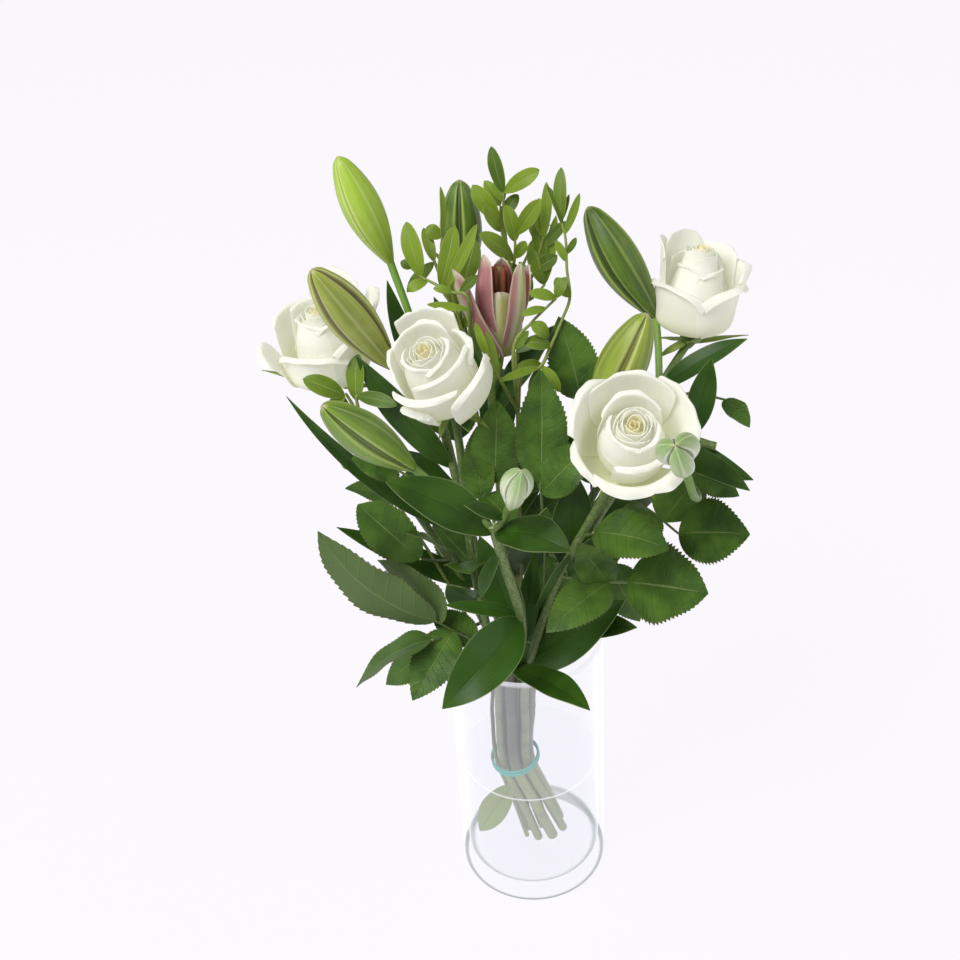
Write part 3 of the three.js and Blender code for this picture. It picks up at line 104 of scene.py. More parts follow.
LILY_STEMS = {
    "lily_stem_1": dict(
        slot=(0, -7.8),
        above=[(-3, -48, 230), (-2, -57, 262), (-9, -62, 300), (-15, -62, 330)],
        pedicels=[
            [(-14, -62, 327), (-36, -54, 343), (-57, -46, 360)],
            [(-14, -62, 327), (-8, -67, 338), (-6, -73, 348), (-4, -84, 358)],
        ],
        leaves=[
            ((-15, -62, 326), (-71, -60, 361), 27, 5), ((-15, -62, 325), (26, -95, 335), 24, 8),
            ((-3, -58, 260), (-48, -106, 237), 30, 13, (0.2, -0.7, 0.7)),
            ((-6, -41, 206), (35, -100, 226), 20, 6, (0.2, -0.4, 0.9)),
            ((-3, -41, 204), (60, -42, 258), 32, -7, (0.1, -0.6, 0.8)),
            ((-3, -57, 262), (-45, -62, 276), 9, 2), ((-6, -67, 337), (-29, -75, 354), 9, 1),
            ((-12, -62, 312), (-24, -66, 283), 8, 4, (-0.5, -0.8, 0.3)),
            ((-4, -50, 240), (-24, -24, 296), 22, 3, (-0.1, -0.8, 0.5)),
            ((-3, -46, 225), (8, -16, 276), 14, 2, (0.3, -0.8, 0.5)),
        ],
    ),
    "lily_stem_2": dict(
        slot=(-6.5, 10),
        above=[(-26, 2, 255), (-38, 22, 310), (-48, 40, 358)],
        pedicels=[
            [(-48, 40, 356), (-58, 58, 392), (-70, 75, 428)],
            [(-48, 40, 356), (-60, 33, 370), (-70, 25, 385)],
        ],
        leaves=[
            ((-47, 38, 354), (-68, 27, 438), 13, -4, (0.3, -0.9, 0.3), -3),
            ((-38, 22, 312), (-91, 30, 390), 19, 5, (-0.3, -0.8, 0.4)),
            ((-30, 8, 275), (-129, 0, 382), 10, -3, (-0.2, -0.6, 0.7), -9),
            ((-24, -4, 240), (-108, -16, 301), 17, -3),
            ((-32, 12, 285), (-84, 70, 300), 23, 8, (-0.2, 0.5, 0.8)),
            ((-42, 30, 335), (-62, 108, 356), 23, 8, BACK),
            ((-46, 37, 352), (-26, -18, 364), 14, 4, (0.3, -0.2, 0.9)),
            ((-22, -8, 228), (-44, -44, 276), 24, 3, (-0.3, -0.7, 0.5)),
        ],
    ),
    "lily_stem_3": dict(
        slot=(1.2, 7.3),
        above=[(-8, 10, 258), (-12, 34, 312), (-14, 56, 350)],
        pedicels=[
            [(-14, 56, 348), (-22, 82, 366), (-29, 105, 396)],
            [(-14, 56, 348), (-9, 59, 360), (-7, 60, 370)],
        ],
        leaves=[
            ((-9, 14, 268), (22, 84, 296), 24, 8, (0.2, 0.4, 0.9)),
            ((-12, 34, 312), (-8, 116, 330), 24, 8, BACK),
            ((-13, 50, 342), (-46, 78, 402), 16, 3, (-0.4, -0.7, 0.6)),
            ((-13, 46, 336), (28, 92, 372), 20, 5, (0.2, 0.3, 0.9)),
            ((-8, 4, 244), (16, -30, 318), 26, 3, (0.2, -0.9, 0.3)),
            ((-10, 24, 292), (40, 2, 352), 27, 4, (0.1, -0.8, 0.5)),
        ],
    ),
    "lily_stem_4": dict(
        slot=(9.3, 2.1),
        above=[(26, -8, 250), (56, 6, 300), (84, 16, 334), (117, 5, 332)],
        pedicels=[
            [(82, 16, 332), (87, 40, 350), (89, 62, 366), (89, 80, 381)],
            [(72, 12, 322), (60, 10, 334), (47, 10, 352)],
            [(84, 16, 333), (100, -32, 327), (94, -64, 346), (86, -78, 376)],
        ],
        leaves=[
            ((87, 41, 352), (139, 45, 381), 14, 5, (-0.2, -0.5, 0.8)),
            ((104, 10, 335), (113, 12, 387), 16, -4, (-0.3, -0.9, 0.1)),
            ((90, 12, 330), (130, -36, 328), 17, 2), ((82, 15, 331), (136, -15, 321), 20, -3),
            ((62, 8, 306), (98, 78, 318), 23, 8, (0.2, 0.4, 0.9)),
            ((34, -4, 262), (88, 52, 266), 23, 9, (0.3, 0.2, 0.9)),
            ((14, -17, 216), (67, -45, 239), 20, 3),
            ((10, -20, 214), (28, -30, 284), 25, 3, (0.2, -0.9, 0.2)),
            ((22, -11, 242), (66, -20, 298), 24, 3, (0, -0.8, 0.5)),
            ((24, -8, 254), (34, 2, 320), 26, 3, (0.1, -0.9, 0.4)),
        ],
    ),
}

ROSE_STEMS = {
    "rose_stem_1": dict(
        slot=(-7.5, -5.5),
        above=[(-29, -18, 270), (-33, 6, 335)],
        bloom=dict(
            base=(-38, 15, 369), axis=(-0.24, -0.4, 0.88), size=0.95, turn=10,
            petals=[
                (300, 65, 22, 21, 43, 2, 5), (80, 45, 22, 25, 50, 1, 3), (165, 45, 22, 21, 42, 1.5, 6),
                (15, 40, 23, 23, 38, 3, 6), (252, 50, 24, 26, 35, 4, 3), (322, 42, 30, 30, 33, 3, 9),
                (232, 24, 25, 26, 22, 4, 5),
            ],
        ),
        sepals=[(-52, 26, 18), (20, 22, 30), (92, 22, 10), (164, 22, 30), (236, 22, 40)],
        sprigs=[
            ([(-20, -32, 214), (-40, -32, 229), (-53, -36, 243)], [
                (END, (-115, -40, 316), 36, -5, (0.1, 0.95, 0.2), 8),
                ((-52, -33, 239), (-86, -18, 277), 26, 3, (0.2, 0.9, 0.3), -4),
                ((-44, -33, 231), (-69, -65, 206), 27, 3, (0, -0.6, 0.8)),
                ((-30, -32, 221), (-57, -22, 238), 20, 2, (0, -0.5, 0.8)),
            ]),
            ([(-28, -20, 262), (-34, -18, 270), (-38, -20, 276)], [
                (END, (-66, -30, 305), 26, 2, (0.3, 0.4, 0.8)),
                ((-36, -19, 273), (-30, -52, 290), 22, 3),
            ]),
            ([(-30, -12, 300), (-22, -10, 312), (-14, -8, 322)], [
                (END, (-10, 8, 369), 28, 3, (0.1, -0.8, 0.5)), ((-20, -10, 314), (-4, -44, 318), 26, 3),
                ((-22, -10, 312), (-23, 6, 352), 19, 2, (-0.2, -0.9, 0.3)),
            ]),
            ([(-31, -4, 308), (-35, 30, 310), (-38, 54, 314)], [
                (END, (-46, 98, 322), 32, 4, BACK),
            ]),
            ([(-30, -10, 305), (-55, -5, 320), (-70, -6, 333)], [
                (END, (-95, -10, 345), 22, 2),
            ]),
            # These fill gaps behind the others.
            ([(-18, -32, 208), (-38, -20, 210), (-57, -10, 201)], [
                (END, (-92, -6, 166), 24, 4, (0, -0.5, 0.8)),
            ]),
        ],
        dipped=((-9, -15, 82), (-37, -26, 46), 19, 3, (-0.6, -0.8, 0.2)),
    ),
    "rose_stem_2": dict(
        slot=(7.5, -6),
        above=[(20, -30, 262), (45, -24, 312)],
        bloom=dict(
            base=(62, -30, 351), axis=(0, -0.6, 0.8), size=1, turn=55,
            petals=[
                (288, 50, 21, 21, 39.5, 3, 5), (88, 55, 25, 29, 46, 2, 4), (18, 46, 26, 33, 43, 2, 5),
                (148, 40, 27, 31, 46, 4, 8), (205, 30, 27, 30, 28, 4, 6), (265, 46, 26, 28, 26, 6, 0),
                (308, 28, 27, 29, 30, 7, 5),
            ],
        ),
        sepals=[(-62, 24, 8), (10, 24, 20), (82, 22, 20), (154, 24, 25), (226, 24, 40)],
        sprigs=[
            ([(22, -29, 266), (38, -40, 271), (50, -45, 274), (61, -46, 274)], [
                (END, (106, -58, 273), 50, 1, (0, -0.35, 0.95)),
                ((50, -46, 275), (12, -76, 264), 26, 5),
                ((50, -45, 277), (32, -58, 313), 22, 2, (-0.2, -0.8, 0.5)),
            ]),
            ([(36, -27, 293), (40, -33, 300), (42, -38, 305)], [
                (END, (83, -56, 304), 31, 5),
            ]),
            ([(30, -28, 278), (44, 14, 280), (46, 40, 286)], [
                (END, (60, 84, 296), 32, 4, BACK),
            ]),
            ([(12, -32, 240), (14, -22, 280), (13, -10, 322)], [
                (END, (16, 16, 383), 30, 3, (0.2, -0.85, 0.4)),
                ((14, -12, 316), (42, -8, 346), 25, 3, (0.1, -0.6, 0.8)),
            ]),
        ],
    ),
    "rose_stem_3": dict(
        slot=(8.3, 9.3),
        above=[(28, 12, 255), (62, 44, 305), (92, 66, 342)],
        bloom=dict(
            base=(110, 79, 368), axis=(0.12, 0.1, 0.98), size=1, turn=80, tall=1.14,
            petals=[
                (215, 65, 23.5, 26, 36, 3, 12), (320, 55, 25, 27, 38, 5, 12),
                (120, 40, 21, 21, 60, 0.5, 8), (10, 45, 25, 26, 46, 5, 8), (170, 36, 22, 25, 59, 1, 10),
                (55, 42, 23, 23, 53, 2, 6),
            ],
        ),
        sepals=[(-10, 30, -8), (62, 22, 30), (134, 22, 30), (206, 22, 40), (278, 20, -20)],
        sprigs=[
            ([(52, 36, 290), (78, 8, 287), (94, -14, 284)], [
                (END, (135, -22, 287), 40, 2, (0, -0.5, 0.9)),
                ((86, -4, 289), (112, 30, 292), 30, 3, (0.1, 0, 1)),
                ((80, 4, 290), (60, -22, 284), 26, 3),
            ]),
            ([(82, 58, 330), (106, 44, 346), (125, 28, 350)], [
                ((124, 28, 350), (137, 10, 341), 13, 2),
            ]),
            ([(56, 39, 297), (46, 36, 330), (40, 34, 352)], [
                (END, (28, 44, 402), 29, 3, (0.1, -0.8, 0.6)),
            ]),
            ([(36, 20, 266), (58, 52, 276), (72, 72, 282)], [
                (END, (92, 112, 288), 32, 4, (0, 0.3, 1)),
                ((64, 60, 279), (98, 66, 284), 26, 3, (0, 0, 1)),
                ((64, 60, 279), (44, 96, 286), 26, 3, (0, 0.3, 1)),
            ]),
            # These fill gaps behind the others.
            ([(28, 12, 255), (42, 14, 252), (54, 12, 242)], [
                (END, (74, 4, 202), 26, 4, FRONT),
            ]),
            ([(84, 60, 333), (98, 40, 318), (105, 20, 302)], [
                (END, (134, 12, 291), 20, 3, (0, -0.4, 0.9)),
            ]),
            ([(26, 8, 248), (14, 20, 250), (4, 28, 253)], [
                (END, (27, 36, 287), 24, 4, FRONT),
            ]),
            ([(6, -10, 205), (4, 4, 204), (3, 16, 204)], [
                (END, (24, 24, 256), 17, 4, (0, -0.8, 0.5)),
            ]),
        ],
    ),
    "rose_stem_4": dict(
        slot=(-8.5, 3),
        above=[(-42, 0, 255), (-76, 26, 305), (-100, 47, 340)],
        bloom=dict(
            base=(-110, 56, 361), axis=(-0.08, -0.05, 1), size=1, turn=120,
            petals=[
                (255, 55, 26, 27, 31, 3, 8), (192, 26, 27, 37, 30, 4, 6), (330, 45, 26, 28, 38, 3, 8),
                (62, 45, 24, 26, 61, 2, 6), (5, 34, 26, 35, 53, 3, 8), (140, 42, 26, 27, 44, 4, 6),
            ],
        ),
        sepals=[(-75, 20, -25), (0, 22, 25), (70, 22, 20), (128, 22, 20), (176, 38, -16)],
        sprigs=[
            ([(-44, 2, 260), (-52, -12, 270), (-60, -24, 281)], [
                (END, (-93, -22, 321), 27, 9, (-0.5, -0.3, 0.8), 0, 40),
            ]),
            ([(-28, -14, 222), (-44, -32, 228), (-56, -42, 233)], [
                (END, (-104, -50, 205), 30, 6, (-0.2, 0.2, 0.9)),
            ]),
            ([(-48, 5, 266), (-66, 34, 276), (-80, 50, 282)], [
                (END, (-116, 82, 288), 32, 4, (0, 0.3, 1)),
                ((-70, 38, 278), (-108, 34, 295), 26, 3, (0, 0, 1)),
                ((-70, 38, 278), (-56, 76, 284), 26, 3, (0, 0.3, 1)),
            ]),
            # These fill gaps behind the others.
            ([(-42, 0, 255), (-38, 20, 240), (-31, 36, 228)], [
                (END, (-56, 44, 259), 26, 4, FRONT),
            ]),
        ],
    ),
}

BRANCHES = {
    "pistache_1": dict(
        slot=(1.2, 1.6),
        above=[(-2, 8, 262), (2, 60, 335), (4, 88, 385), (0, 99, 420), (-2, 104, 446)],
        sprigs=[
            ([(-1, 100, 437), (-1, 106, 455)], [
                (END, (-7, 112, 482), 9, 2, FRONT_LEFT), (END, (21, 102, 470), 10, 3, FRONT_RIGHT),
                ((-2, 104, 450), (-6, 110, 461), 8, 1, FRONT),
            ]),
            ([(-1, 92, 416), (-2, 92, 431), (-4, 93, 442)], [
                (END, (-19, 96, 465), 11, 3, FRONT_LEFT), ((-3, 92, 436), (-13, 86, 455), 8, 1, FRONT),
            ]),
            ([(-1, 88, 409), (4, 88, 420), (5, 90, 434)], [
                ((5, 90, 430), (0, 95, 452), 10, 2, (0.4, -0.8, 0.4)),
                (END, (8, 94, 442), 4, 1, FRONT_RIGHT), ((4, 88, 418), (-16, 80, 441), 11, 4, FRONT),
                ((4, 88, 420), (11, 86, 432), 7, 2, FRONT_RIGHT),
                ((4, 92, 442), (20, 88, 457), 10, 3, FRONT_RIGHT),
            ]),
            ([(-2, 78, 398), (12, 84, 394), (22, 90, 401)], [
                ((24, 90, 397), (15, 96, 428), 13, 3, FRONT), (END, (19, 100, 449), 9, 3, FRONT_LEFT),
                ((29, 86, 402), (30, 96, 443), 7, 2, FRONT),
                ((12, 84, 394), (7, 88, 418), 9, 2, FRONT_RIGHT),
            ]),
            ([(-1, 80, 403), (10, 104, 410), (17, 122, 417)], [
                (END, (13, 130, 429), 10, 3, BACK), (END, (28, 126, 424), 10, 3, BACK),
                ((13, 114, 414), (23, 120, 409), 9, 2, BACK),
            ]),
            # These fill gaps behind the others.
            ([(2, 88, 388), (14, 92, 405), (22, 92, 431)], [
                (END, (20, 100, 453), 10, 2, FRONT), (END, (25, 102, 462), 7, 2, FRONT_RIGHT),
                ((20, 92, 424), (36, 94, 440), 7, 2, FRONT_RIGHT),
                ((16, 92, 410), (30, 90, 420), 9, 2, (0.2, -0.8, 0.5)),
                ((12, 92, 400), (-4, 92, 416), 10, 2, (0, -0.8, 0.5)),
            ]),
            ([(-2, 101, 430), (-3, 104, 440), (-3, 105, 447)], [
                (END, (-12, 112, 461), 8, 2, FRONT),
                ((-3, 104, 440), (8, 110, 452), 8, 2, (0.2, -0.7, 0.7)),
            ]),
        ],
    ),
    "pistache_2": dict(
        slot=(-12.5, -1.6),
        above=[(-50, -8, 260), (-78, 14, 306), (-92, 26, 350)],
        sprigs=[
            ([(-96, 25, 365), (-98, 24, 367), (-99, 22, 368)], [
                ((-99, 22, 367), (-122, 20, 382), 12, 3, FRONT),
                ((-99, 22, 367), (-109, 18, 365), 6, 1, FRONT_RIGHT),
            ]),
            ([(-96, 26, 364), (-93, 25, 365), (-91, 24, 366)], [
                ((-92, 25, 362), (-90, 34, 389), 12, 3, FRONT_LEFT),
                ((-96, 25, 373), (-68, 10, 367), 9, 3, FRONT),
            ]),
        ],
    ),
    "pistache_3": dict(
        slot=(1.2, -2),
        above=[(0, -8, 262), (0, 12, 325), (2, 22, 352)],
        sprigs=[
            ([(-8, 20, 374), (1, 26, 392), (12, 34, 404), (27, 42, 415)], [
                (END, (11, 38, 421), 7, 2, FRONT), ((21, 38, 411), (6, 32, 410), 5, 2, FRONT),
                ((1, 26, 391), (10, 30, 401), 5, 1, FRONT_RIGHT),
                (END, (33, 46, 426), 7, 2, FRONT_LEFT),
                ((11, 34, 404), (21, 34, 394), 9, 3, FRONT_RIGHT),
            ]),
            ([(-8, 20, 374), (-12, 18, 387), (-14, 18, 395)], [
                ((-7, 20, 380), (-14, 22, 406), 5, 1, FRONT_RIGHT),
                ((-13, 18, 390), (-20, 22, 412), 5, 2, FRONT_LEFT),
                ((-9, 16, 379), (-20, 10, 387), 5, 2, FRONT),
            ]),
            ([
                (-7, 20, 375), (5, 22, 377), (16, 26, 379), (23, 34, 389), (30, 42, 401), (35, 48, 412),
                (34, 56, 426), (34, 64, 441), (32, 70, 450),
            ], [
                ((16, 26, 379), (-8, 10, 380), 5, 2, FRONT),
                ((15, 26, 378), (11, 16, 360), 9, 2, FRONT),
                ((17, 26, 380), (27, 20, 365), 7, 2, FRONT_RIGHT),
                ((23, 34, 389), (7, 28, 394), 9, 3, FRONT), (END, (33, 80, 479), 8, 3, FRONT_LEFT),
                ((31, 69, 448), (24, 76, 470), 6, 2, (0.6, -0.6, 0.5)),
                ((35, 66, 444), (43, 74, 465), 5, 1, FRONT_RIGHT), (END, (37, 76, 464), 3, 1, FRONT),
                ((34, 60, 434), (40, 62, 443), 4, 1, FRONT_RIGHT),
                ((35, 48, 412), (27, 46, 426), 8, 2, FRONT_LEFT),
                ((34, 58, 430), (28, 62, 442), 5, 1, FRONT),
            ]),
            # These fill gaps behind the others.
            ([(2, 22, 352), (2, 34, 370), (2, 40, 382)], [
                (END, (23, 44, 391), 7, 2, FRONT),
                ((2, 36, 374), (18, 40, 372), 8, 2, (0.2, -0.7, 0.6)),
            ]),
        ],
    ),
    "pistache_4": dict(
        slot=(-2.6, 0.2),
        above=[(-14, 2, 262), (-22, 40, 330), (-26, 62, 368)],
        sprigs=[
            ([
                (-15, 41, 406), (-24, 43, 416), (-33, 48, 419), (-40, 54, 420), (-51, 62, 423),
                (-57, 66, 427),
            ], [
                ((-51, 62, 423), (-58, 72, 454), 12, 3, FRONT_LEFT),
                ((-40, 54, 422), (-30, 66, 453), 11, 3, FRONT_RIGHT),
                ((-28, 60, 432), (-17, 68, 452), 7, 3, FRONT_RIGHT),
                ((-44, 60, 433), (-59, 54, 418), 7, 3, (-0.4, -0.7, 0.5)),
                (END, (-63, 68, 431), 6, 1, FRONT), ((-32, 44, 408), (-48, 44, 414), 5, 1, FRONT),
                ((-34, 48, 414), (-44, 48, 422), 5, 2, FRONT),
                ((-27, 46, 420), (-18, 48, 429), 6, 1, FRONT_RIGHT),
            ]),
            ([(-40, 54, 420), (-38, 72, 427), (-39, 88, 436)], [
                ((-40, 88, 438), (-38, 98, 464), 5, 2, (0.7, -0.6, 0.4)),
                (END, (-48, 90, 442), 9, 2, FRONT_LEFT),
            ]),
            ([(-19, 64, 385), (-31, 90, 403), (-39, 108, 407)], [
                (END, (-50, 114, 416), 11, 3, BACK), (END, (-29, 114, 412), 11, 3, BACK),
                ((-33, 96, 404), (-43, 98, 401), 9, 2, BACK),
            ]),
            # These fill gaps behind the others.
            ([(-26, 62, 368), (-30, 70, 392), (-28, 75, 410)], [
                (END, (-19, 88, 434), 13, 2, (0.2, -0.7, 0.6)),
                ((-30, 72, 398), (-40, 80, 412), 10, 2, (0, -0.7, 0.6)),
                ((-29, 68, 386), (-14, 74, 398), 10, 2, (0.2, -0.7, 0.6)),
            ]),
            ([(-40, 56, 421), (-42, 70, 424), (-44, 80, 424)], [
                (END, (-62, 78, 406), 8, 2, (-0.2, -0.7, 0.6)),
                ((-42, 90, 432), (-50, 97, 439), 7, 2, FRONT),
            ]),
        ],
    ),
}

# Each bud: base, tip, width, bend and turn, its finish, the half width of the valleys between
# its lobes in degrees, how deep they are and how brown.
BUDS = {
    "lily_bud_1": ((-70, 75, 428), (-94, 75, 494), 23, -1.5, 4, "young_bud", 3, 0.04, 0),
    "lily_bud_2": ((-70, 25, 385), (-106, 5, 457), 27, 2, 110, "olive_bud", 13, 0.24, 1),
    "lily_bud_3": ((-57, -46, 360), (-97, -74, 418), 24, 3, 38, "bud", 11, 0.24, 0.2),
    "lily_bud_4": ((-29, 105, 396), (-27, 110, 463), 26, 0, 26, "deep_bud", 7, 0.2, 0.2),
    "lily_bud_5": ((89, 80, 381), (49, 95, 448), 27, -3, 118, "deep_bud", 9, 0.25, 0),
    "lily_bud_6": ((47, 10, 352), (75, 5, 421), 28, 2, 18, "yellow_bud", 8, 0.2, 0.6),
    "lily_bud_small_1": ((-4, -84, 358), (2, -96, 388), 18, 0, 90, "small_bud", 9, 0.36, 0.6),
    "lily_bud_small_2": ((86, -78, 376), (78, -101, 402), 24, 0, 90, "small_bud", 9, 0.42, 0.8),
}

# Each tepal: turn, lean, length, width, curl, how far out it starts, and where across it its
# green band runs, from 0 to 1, or below 0 where it has none.
OPEN_LILY = dict(
    base=(-7, 60, 370),
    axis=(0.03, 0.16, 0.98),
    tepals=[
        (-88, 7, 43, 26, 0, 5, 0.62),
        (-152, 23, 63, 25, 1, 4, 0.3),
        (24, 14, 55, 19, 1, 4, 0.7),
        (-143, 3, 64, 18, 0, 6, -0.5),
        (78, 4, 58, 17, 1, 2.5, -0.5),
        (-40, 9, 60, 17, 0, 5, 0.62),
    ],
    stamens=dict(count=6, foot=13, spread=4, height=42),
)

# ------------------------------------------------------------------ camera, light and floor

CAMERA_PLACE = (0, -0.656, 0.757)
CAMERA_TURN = 1.95            # degrees to the left
CAMERA_TILT = 56.3            # degrees up from straight down
CAMERA_ROLL = -3.65
LENS = 50
SENSOR = 36
WORLD_LIGHT = 0.32
FLOOR_GLOW = 0.95             # keeps the floor white with hardly a shadow
FLOOR_DROP = 0.0002
FLOOR_SIZE = 8

# Each light: its place, what it points at, its size and its power in watts.
LIGHTS = {
    "key": ((-1.0, -0.9, 2.0), (0, 0, 0.3), 1.5, 44),
    "fill": ((1.6, -0.4, 1.2), (0, 0, 0.3), 1.6, 6),
}


def turned(degrees, axis):
    return Matrix.Rotation(math.radians(degrees), 4, axis)


def add_camera():
    data = bpy.data.cameras.new("camera")
    data.lens = LENS
    data.sensor_width = SENSOR
    camera = bpy.data.objects.new("camera", data)
    bpy.context.scene.collection.objects.link(camera)
    turn = turned(CAMERA_TURN, "Z") @ turned(CAMERA_TILT, "X") @ turned(CAMERA_ROLL, "Z")
    camera.matrix_world = Matrix.Translation(CAMERA_PLACE) @ turn
    bpy.context.scene.camera = camera


# ------------------------------------------------------------------ small maths


def lerp(a, b, t):
    return a + (b - a) * t


def smooth(low, high, value):
    """0 below low, 1 above high, and an even slope between them."""
    t = min(max((value - low) / (high - low), 0.0), 1.0)
    return t * t * (3 - 2 * t)


def hump(value, centre, spread):
    return math.exp(-((value - centre) / spread) ** 2)


class Route:
    """A smooth line through points, which it passes at even steps of s from 0 to 1."""

    SAMPLES = 96

    def __init__(self, points):
        self.points = [Vector(point) for point in points]
        self.spans = len(self.points) - 1
        self.samples = [self.at(i / self.SAMPLES) for i in range(self.SAMPLES + 1)]
        self.reach = [0.0]
        for a, b in zip(self.samples, self.samples[1:]):
            self.reach.append(self.reach[-1] + (b - a).length)
        self.length = self.reach[-1]

    def at(self, s):
        place = min(max(s, 0.0), 1.0) * self.spans
        i = min(int(place), self.spans - 1)
        t = place - i
        a, b = self.points[i], self.points[i + 1]
        before = self.points[i - 1] if i > 0 else 2 * a - b
        after = self.points[i + 2] if i + 2 <= self.spans else 2 * b - a
        start = (b - before) * 0.5
        end = (after - a) * 0.5
        return (
            a * (2 * t**3 - 3 * t**2 + 1)
            + start * (t**3 - 2 * t**2 + t)
            + b * (3 * t**2 - 2 * t**3)
            + end * (t**3 - t**2)
        )

    def tangent(self, s):
        step = 1e-3
        return (self.at(min(s + step, 1)) - self.at(max(s - step, 0))).normalized()

    def even(self, share):
        """The s at which this share of the length is behind."""
        goal = share * self.length
        i = next((k for k in range(self.SAMPLES) if self.reach[k + 1] >= goal), self.SAMPLES - 1)
        span = max(self.reach[i + 1] - self.reach[i], 1e-9)
        return (i + (goal - self.reach[i]) / span) / self.SAMPLES

    def nearest(self, guess):
        return min(self.samples, key=lambda point: (point - Vector(guess)).length)

    def rings(self, steps):
        """Centre and two cross axes at each step, turned as little as can be."""
        reference = Vector((0, 1, 0)) if abs(self.tangent(0).y) < 0.9 else Vector((1, 0, 0))
        normal = reference.cross(self.tangent(0))
        rings = []
        for step in range(steps + 1):
            along = self.tangent(step / steps)
            normal = (normal - along * normal.dot(along)).normalized()
            rings.append((self.at(step / steps), normal, along.cross(normal)))
        return rings


def through_bunch(slot):
    """The points of a stem through the bunch, from its foot to the vase's lip."""
    points = []
    for z, centre, spread, turn in BUNCH:
        offset = Vector((slot[0], slot[1], 0)) * spread
        offset.rotate(turned(turn, "Z"))
        points.append((centre[0] + offset.x, centre[1] + offset.y, z))
    return points


def standing(base, axis):
    """A frame standing on base, its Z along axis and its X as near +X as it can be."""
    z = Vector(axis).normalized()
    x = Vector((0, 1, 0)).cross(z).normalized()
    y = z.cross(x)
    return Matrix.Translation(base) @ Matrix((x, y, z)).transposed().to_4x4()


# ------------------------------------------------------------------ pieces

MERGE = 1e-4                  # points nearer to each other than this become one
END_RING = 0.93               # the ring on a tube's flat end is this much narrower than the tube


class Piece:
    """One object in the making, with the layers its finish reads.

    grain is the place on each blade or tube; tone is a seed, a mark and 1 on undersides.
    """

    def __init__(self, name):
        self.name = name
        self.bm = bmesh.new()
        self.grain = self.bm.loops.layers.uv.new("grain")
        self.tone = self.bm.verts.layers.float_vector.new("tone")

    def patch(self, place, columns, rows, tone=(0, 0), stretch=1):
        """A grid laid over place(u, v), u and v from 0 to 1; its verts are returned."""
        made = bmesh.ops.create_grid(self.bm, x_segments=columns, y_segments=rows, size=0.5)
        where = {vert: (vert.co.x + 0.5, vert.co.y + 0.5) for vert in made["verts"]}
        for face in {face for vert in where for face in vert.link_faces}:
            for loop in face.loops:
                u, v = where[loop.vert]
                loop[self.grain].uv = (u, v * stretch)
        for vert, (u, v) in where.items():
            vert.co = place(u, v)
            mark = tone(u, v) if callable(tone) else tone
            vert[self.tone] = (mark[0], mark[1], 0)
        return list(where)

    def sheet(self, place, thickness, columns, rows, tone=(0, 0)):
        """A thin closed sheet, its upper side over place(u, v)."""
        verts = self.patch(place, columns, rows, tone)
        faces = list(dict.fromkeys(face for vert in verts for face in vert.link_faces))
        for face in faces:
            face.normal_update()
        shell = bmesh.ops.solidify(self.bm, geom=faces, thickness=thickness)
        upper = set(verts)
        near = KDTree(len(verts))
        for i, vert in enumerate(verts):
            near.insert(vert.co, i)
        near.balance()
        for element in shell["geom"]:
            if isinstance(element, bmesh.types.BMVert) and element not in upper:
                seed, mark, _ = element[self.tone]
                element[self.tone] = (seed, mark, 1)
                # A sharp fold throws the underside far out: it is drawn back to the sheet.
                point, _, gap = near.find(element.co)
                if gap > 2 * thickness:
                    element.co = point.lerp(element.co, thickness / gap)

    def tube(self, route, radius, sides, per_span, tone=(0, 0)):
        """A closed tube; radius(s, angle) gives its section and its flat ends are marked."""
        steps = route.spans * per_span
        rings = route.rings(steps)
        rows = steps + 4

        def step_of(v):
            return round(v * rows) - 2

        def place(u, v):
            step = min(max(step_of(v), 0), steps)
            centre, normal, binormal = rings[step]
            if step_of(v) in (-2, steps + 2):
                return centre
            angle = 2 * math.pi * u
            size = radius(step / steps, angle)
            if step_of(v) in (-1, steps + 1):
                size *= END_RING
            return centre + (normal * math.cos(angle) + binormal * math.sin(angle)) * size

        def marks(u, v):
            seed, mark = tone(u, v) if callable(tone) else tone
            return (seed, mark) if 0 <= step_of(v) <= steps else (seed, 1)

        verts = self.patch(place, sides, rows, marks, route.length / 100)
        bmesh.ops.remove_doubles(self.bm, verts=verts, dist=MERGE)

    def turned_shape(self, profile, sides):
        """A profile of (radius, height) points spun round the Z axis."""
        verts = [self.bm.verts.new((x, 0, z)) for x, z in profile]
        edges = [self.bm.edges.new(pair) for pair in zip(verts, verts[1:])]
        self.spin(verts + edges, sides)

    def spin(self, geom, sides):
        known = set(self.bm.verts) - set(geom)
        bmesh.ops.spin(
            self.bm, geom=geom, cent=(0, 0, 0), axis=(0, 0, 1), angle=2 * math.pi,
            steps=sides, use_merge=True,
        )
        fresh = [vert for vert in self.bm.verts if vert not in known]
        bmesh.ops.remove_doubles(self.bm, verts=fresh, dist=MERGE)
        faces = [face for face in self.bm.faces if face.verts[0] not in known]
        bmesh.ops.recalc_face_normals(self.bm, faces=faces)

    def move(self, matrix):
        bmesh.ops.transform(self.bm, matrix=matrix, verts=self.bm.verts)

    def finish(self, material, slot, *nodes, sharp=50):
        """Makes the object: it rides on the one body and stands for the nodes named."""
        bmesh.ops.scale(self.bm, vec=(MM, MM, MM), verts=self.bm.verts)
        for face in self.bm.faces:
            face.smooth = True
        mesh = bpy.data.meshes.new(self.name)
        self.bm.to_mesh(mesh)
        self.bm.free()
        mesh.set_sharp_from_angle(angle=math.radians(sharp))
        mesh.materials.append(material)
        obj = bpy.data.objects.new(self.name, mesh)
        bpy.context.scene.collection.objects.link(obj)
        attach(obj, "root")
        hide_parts(*nodes)
        return obj


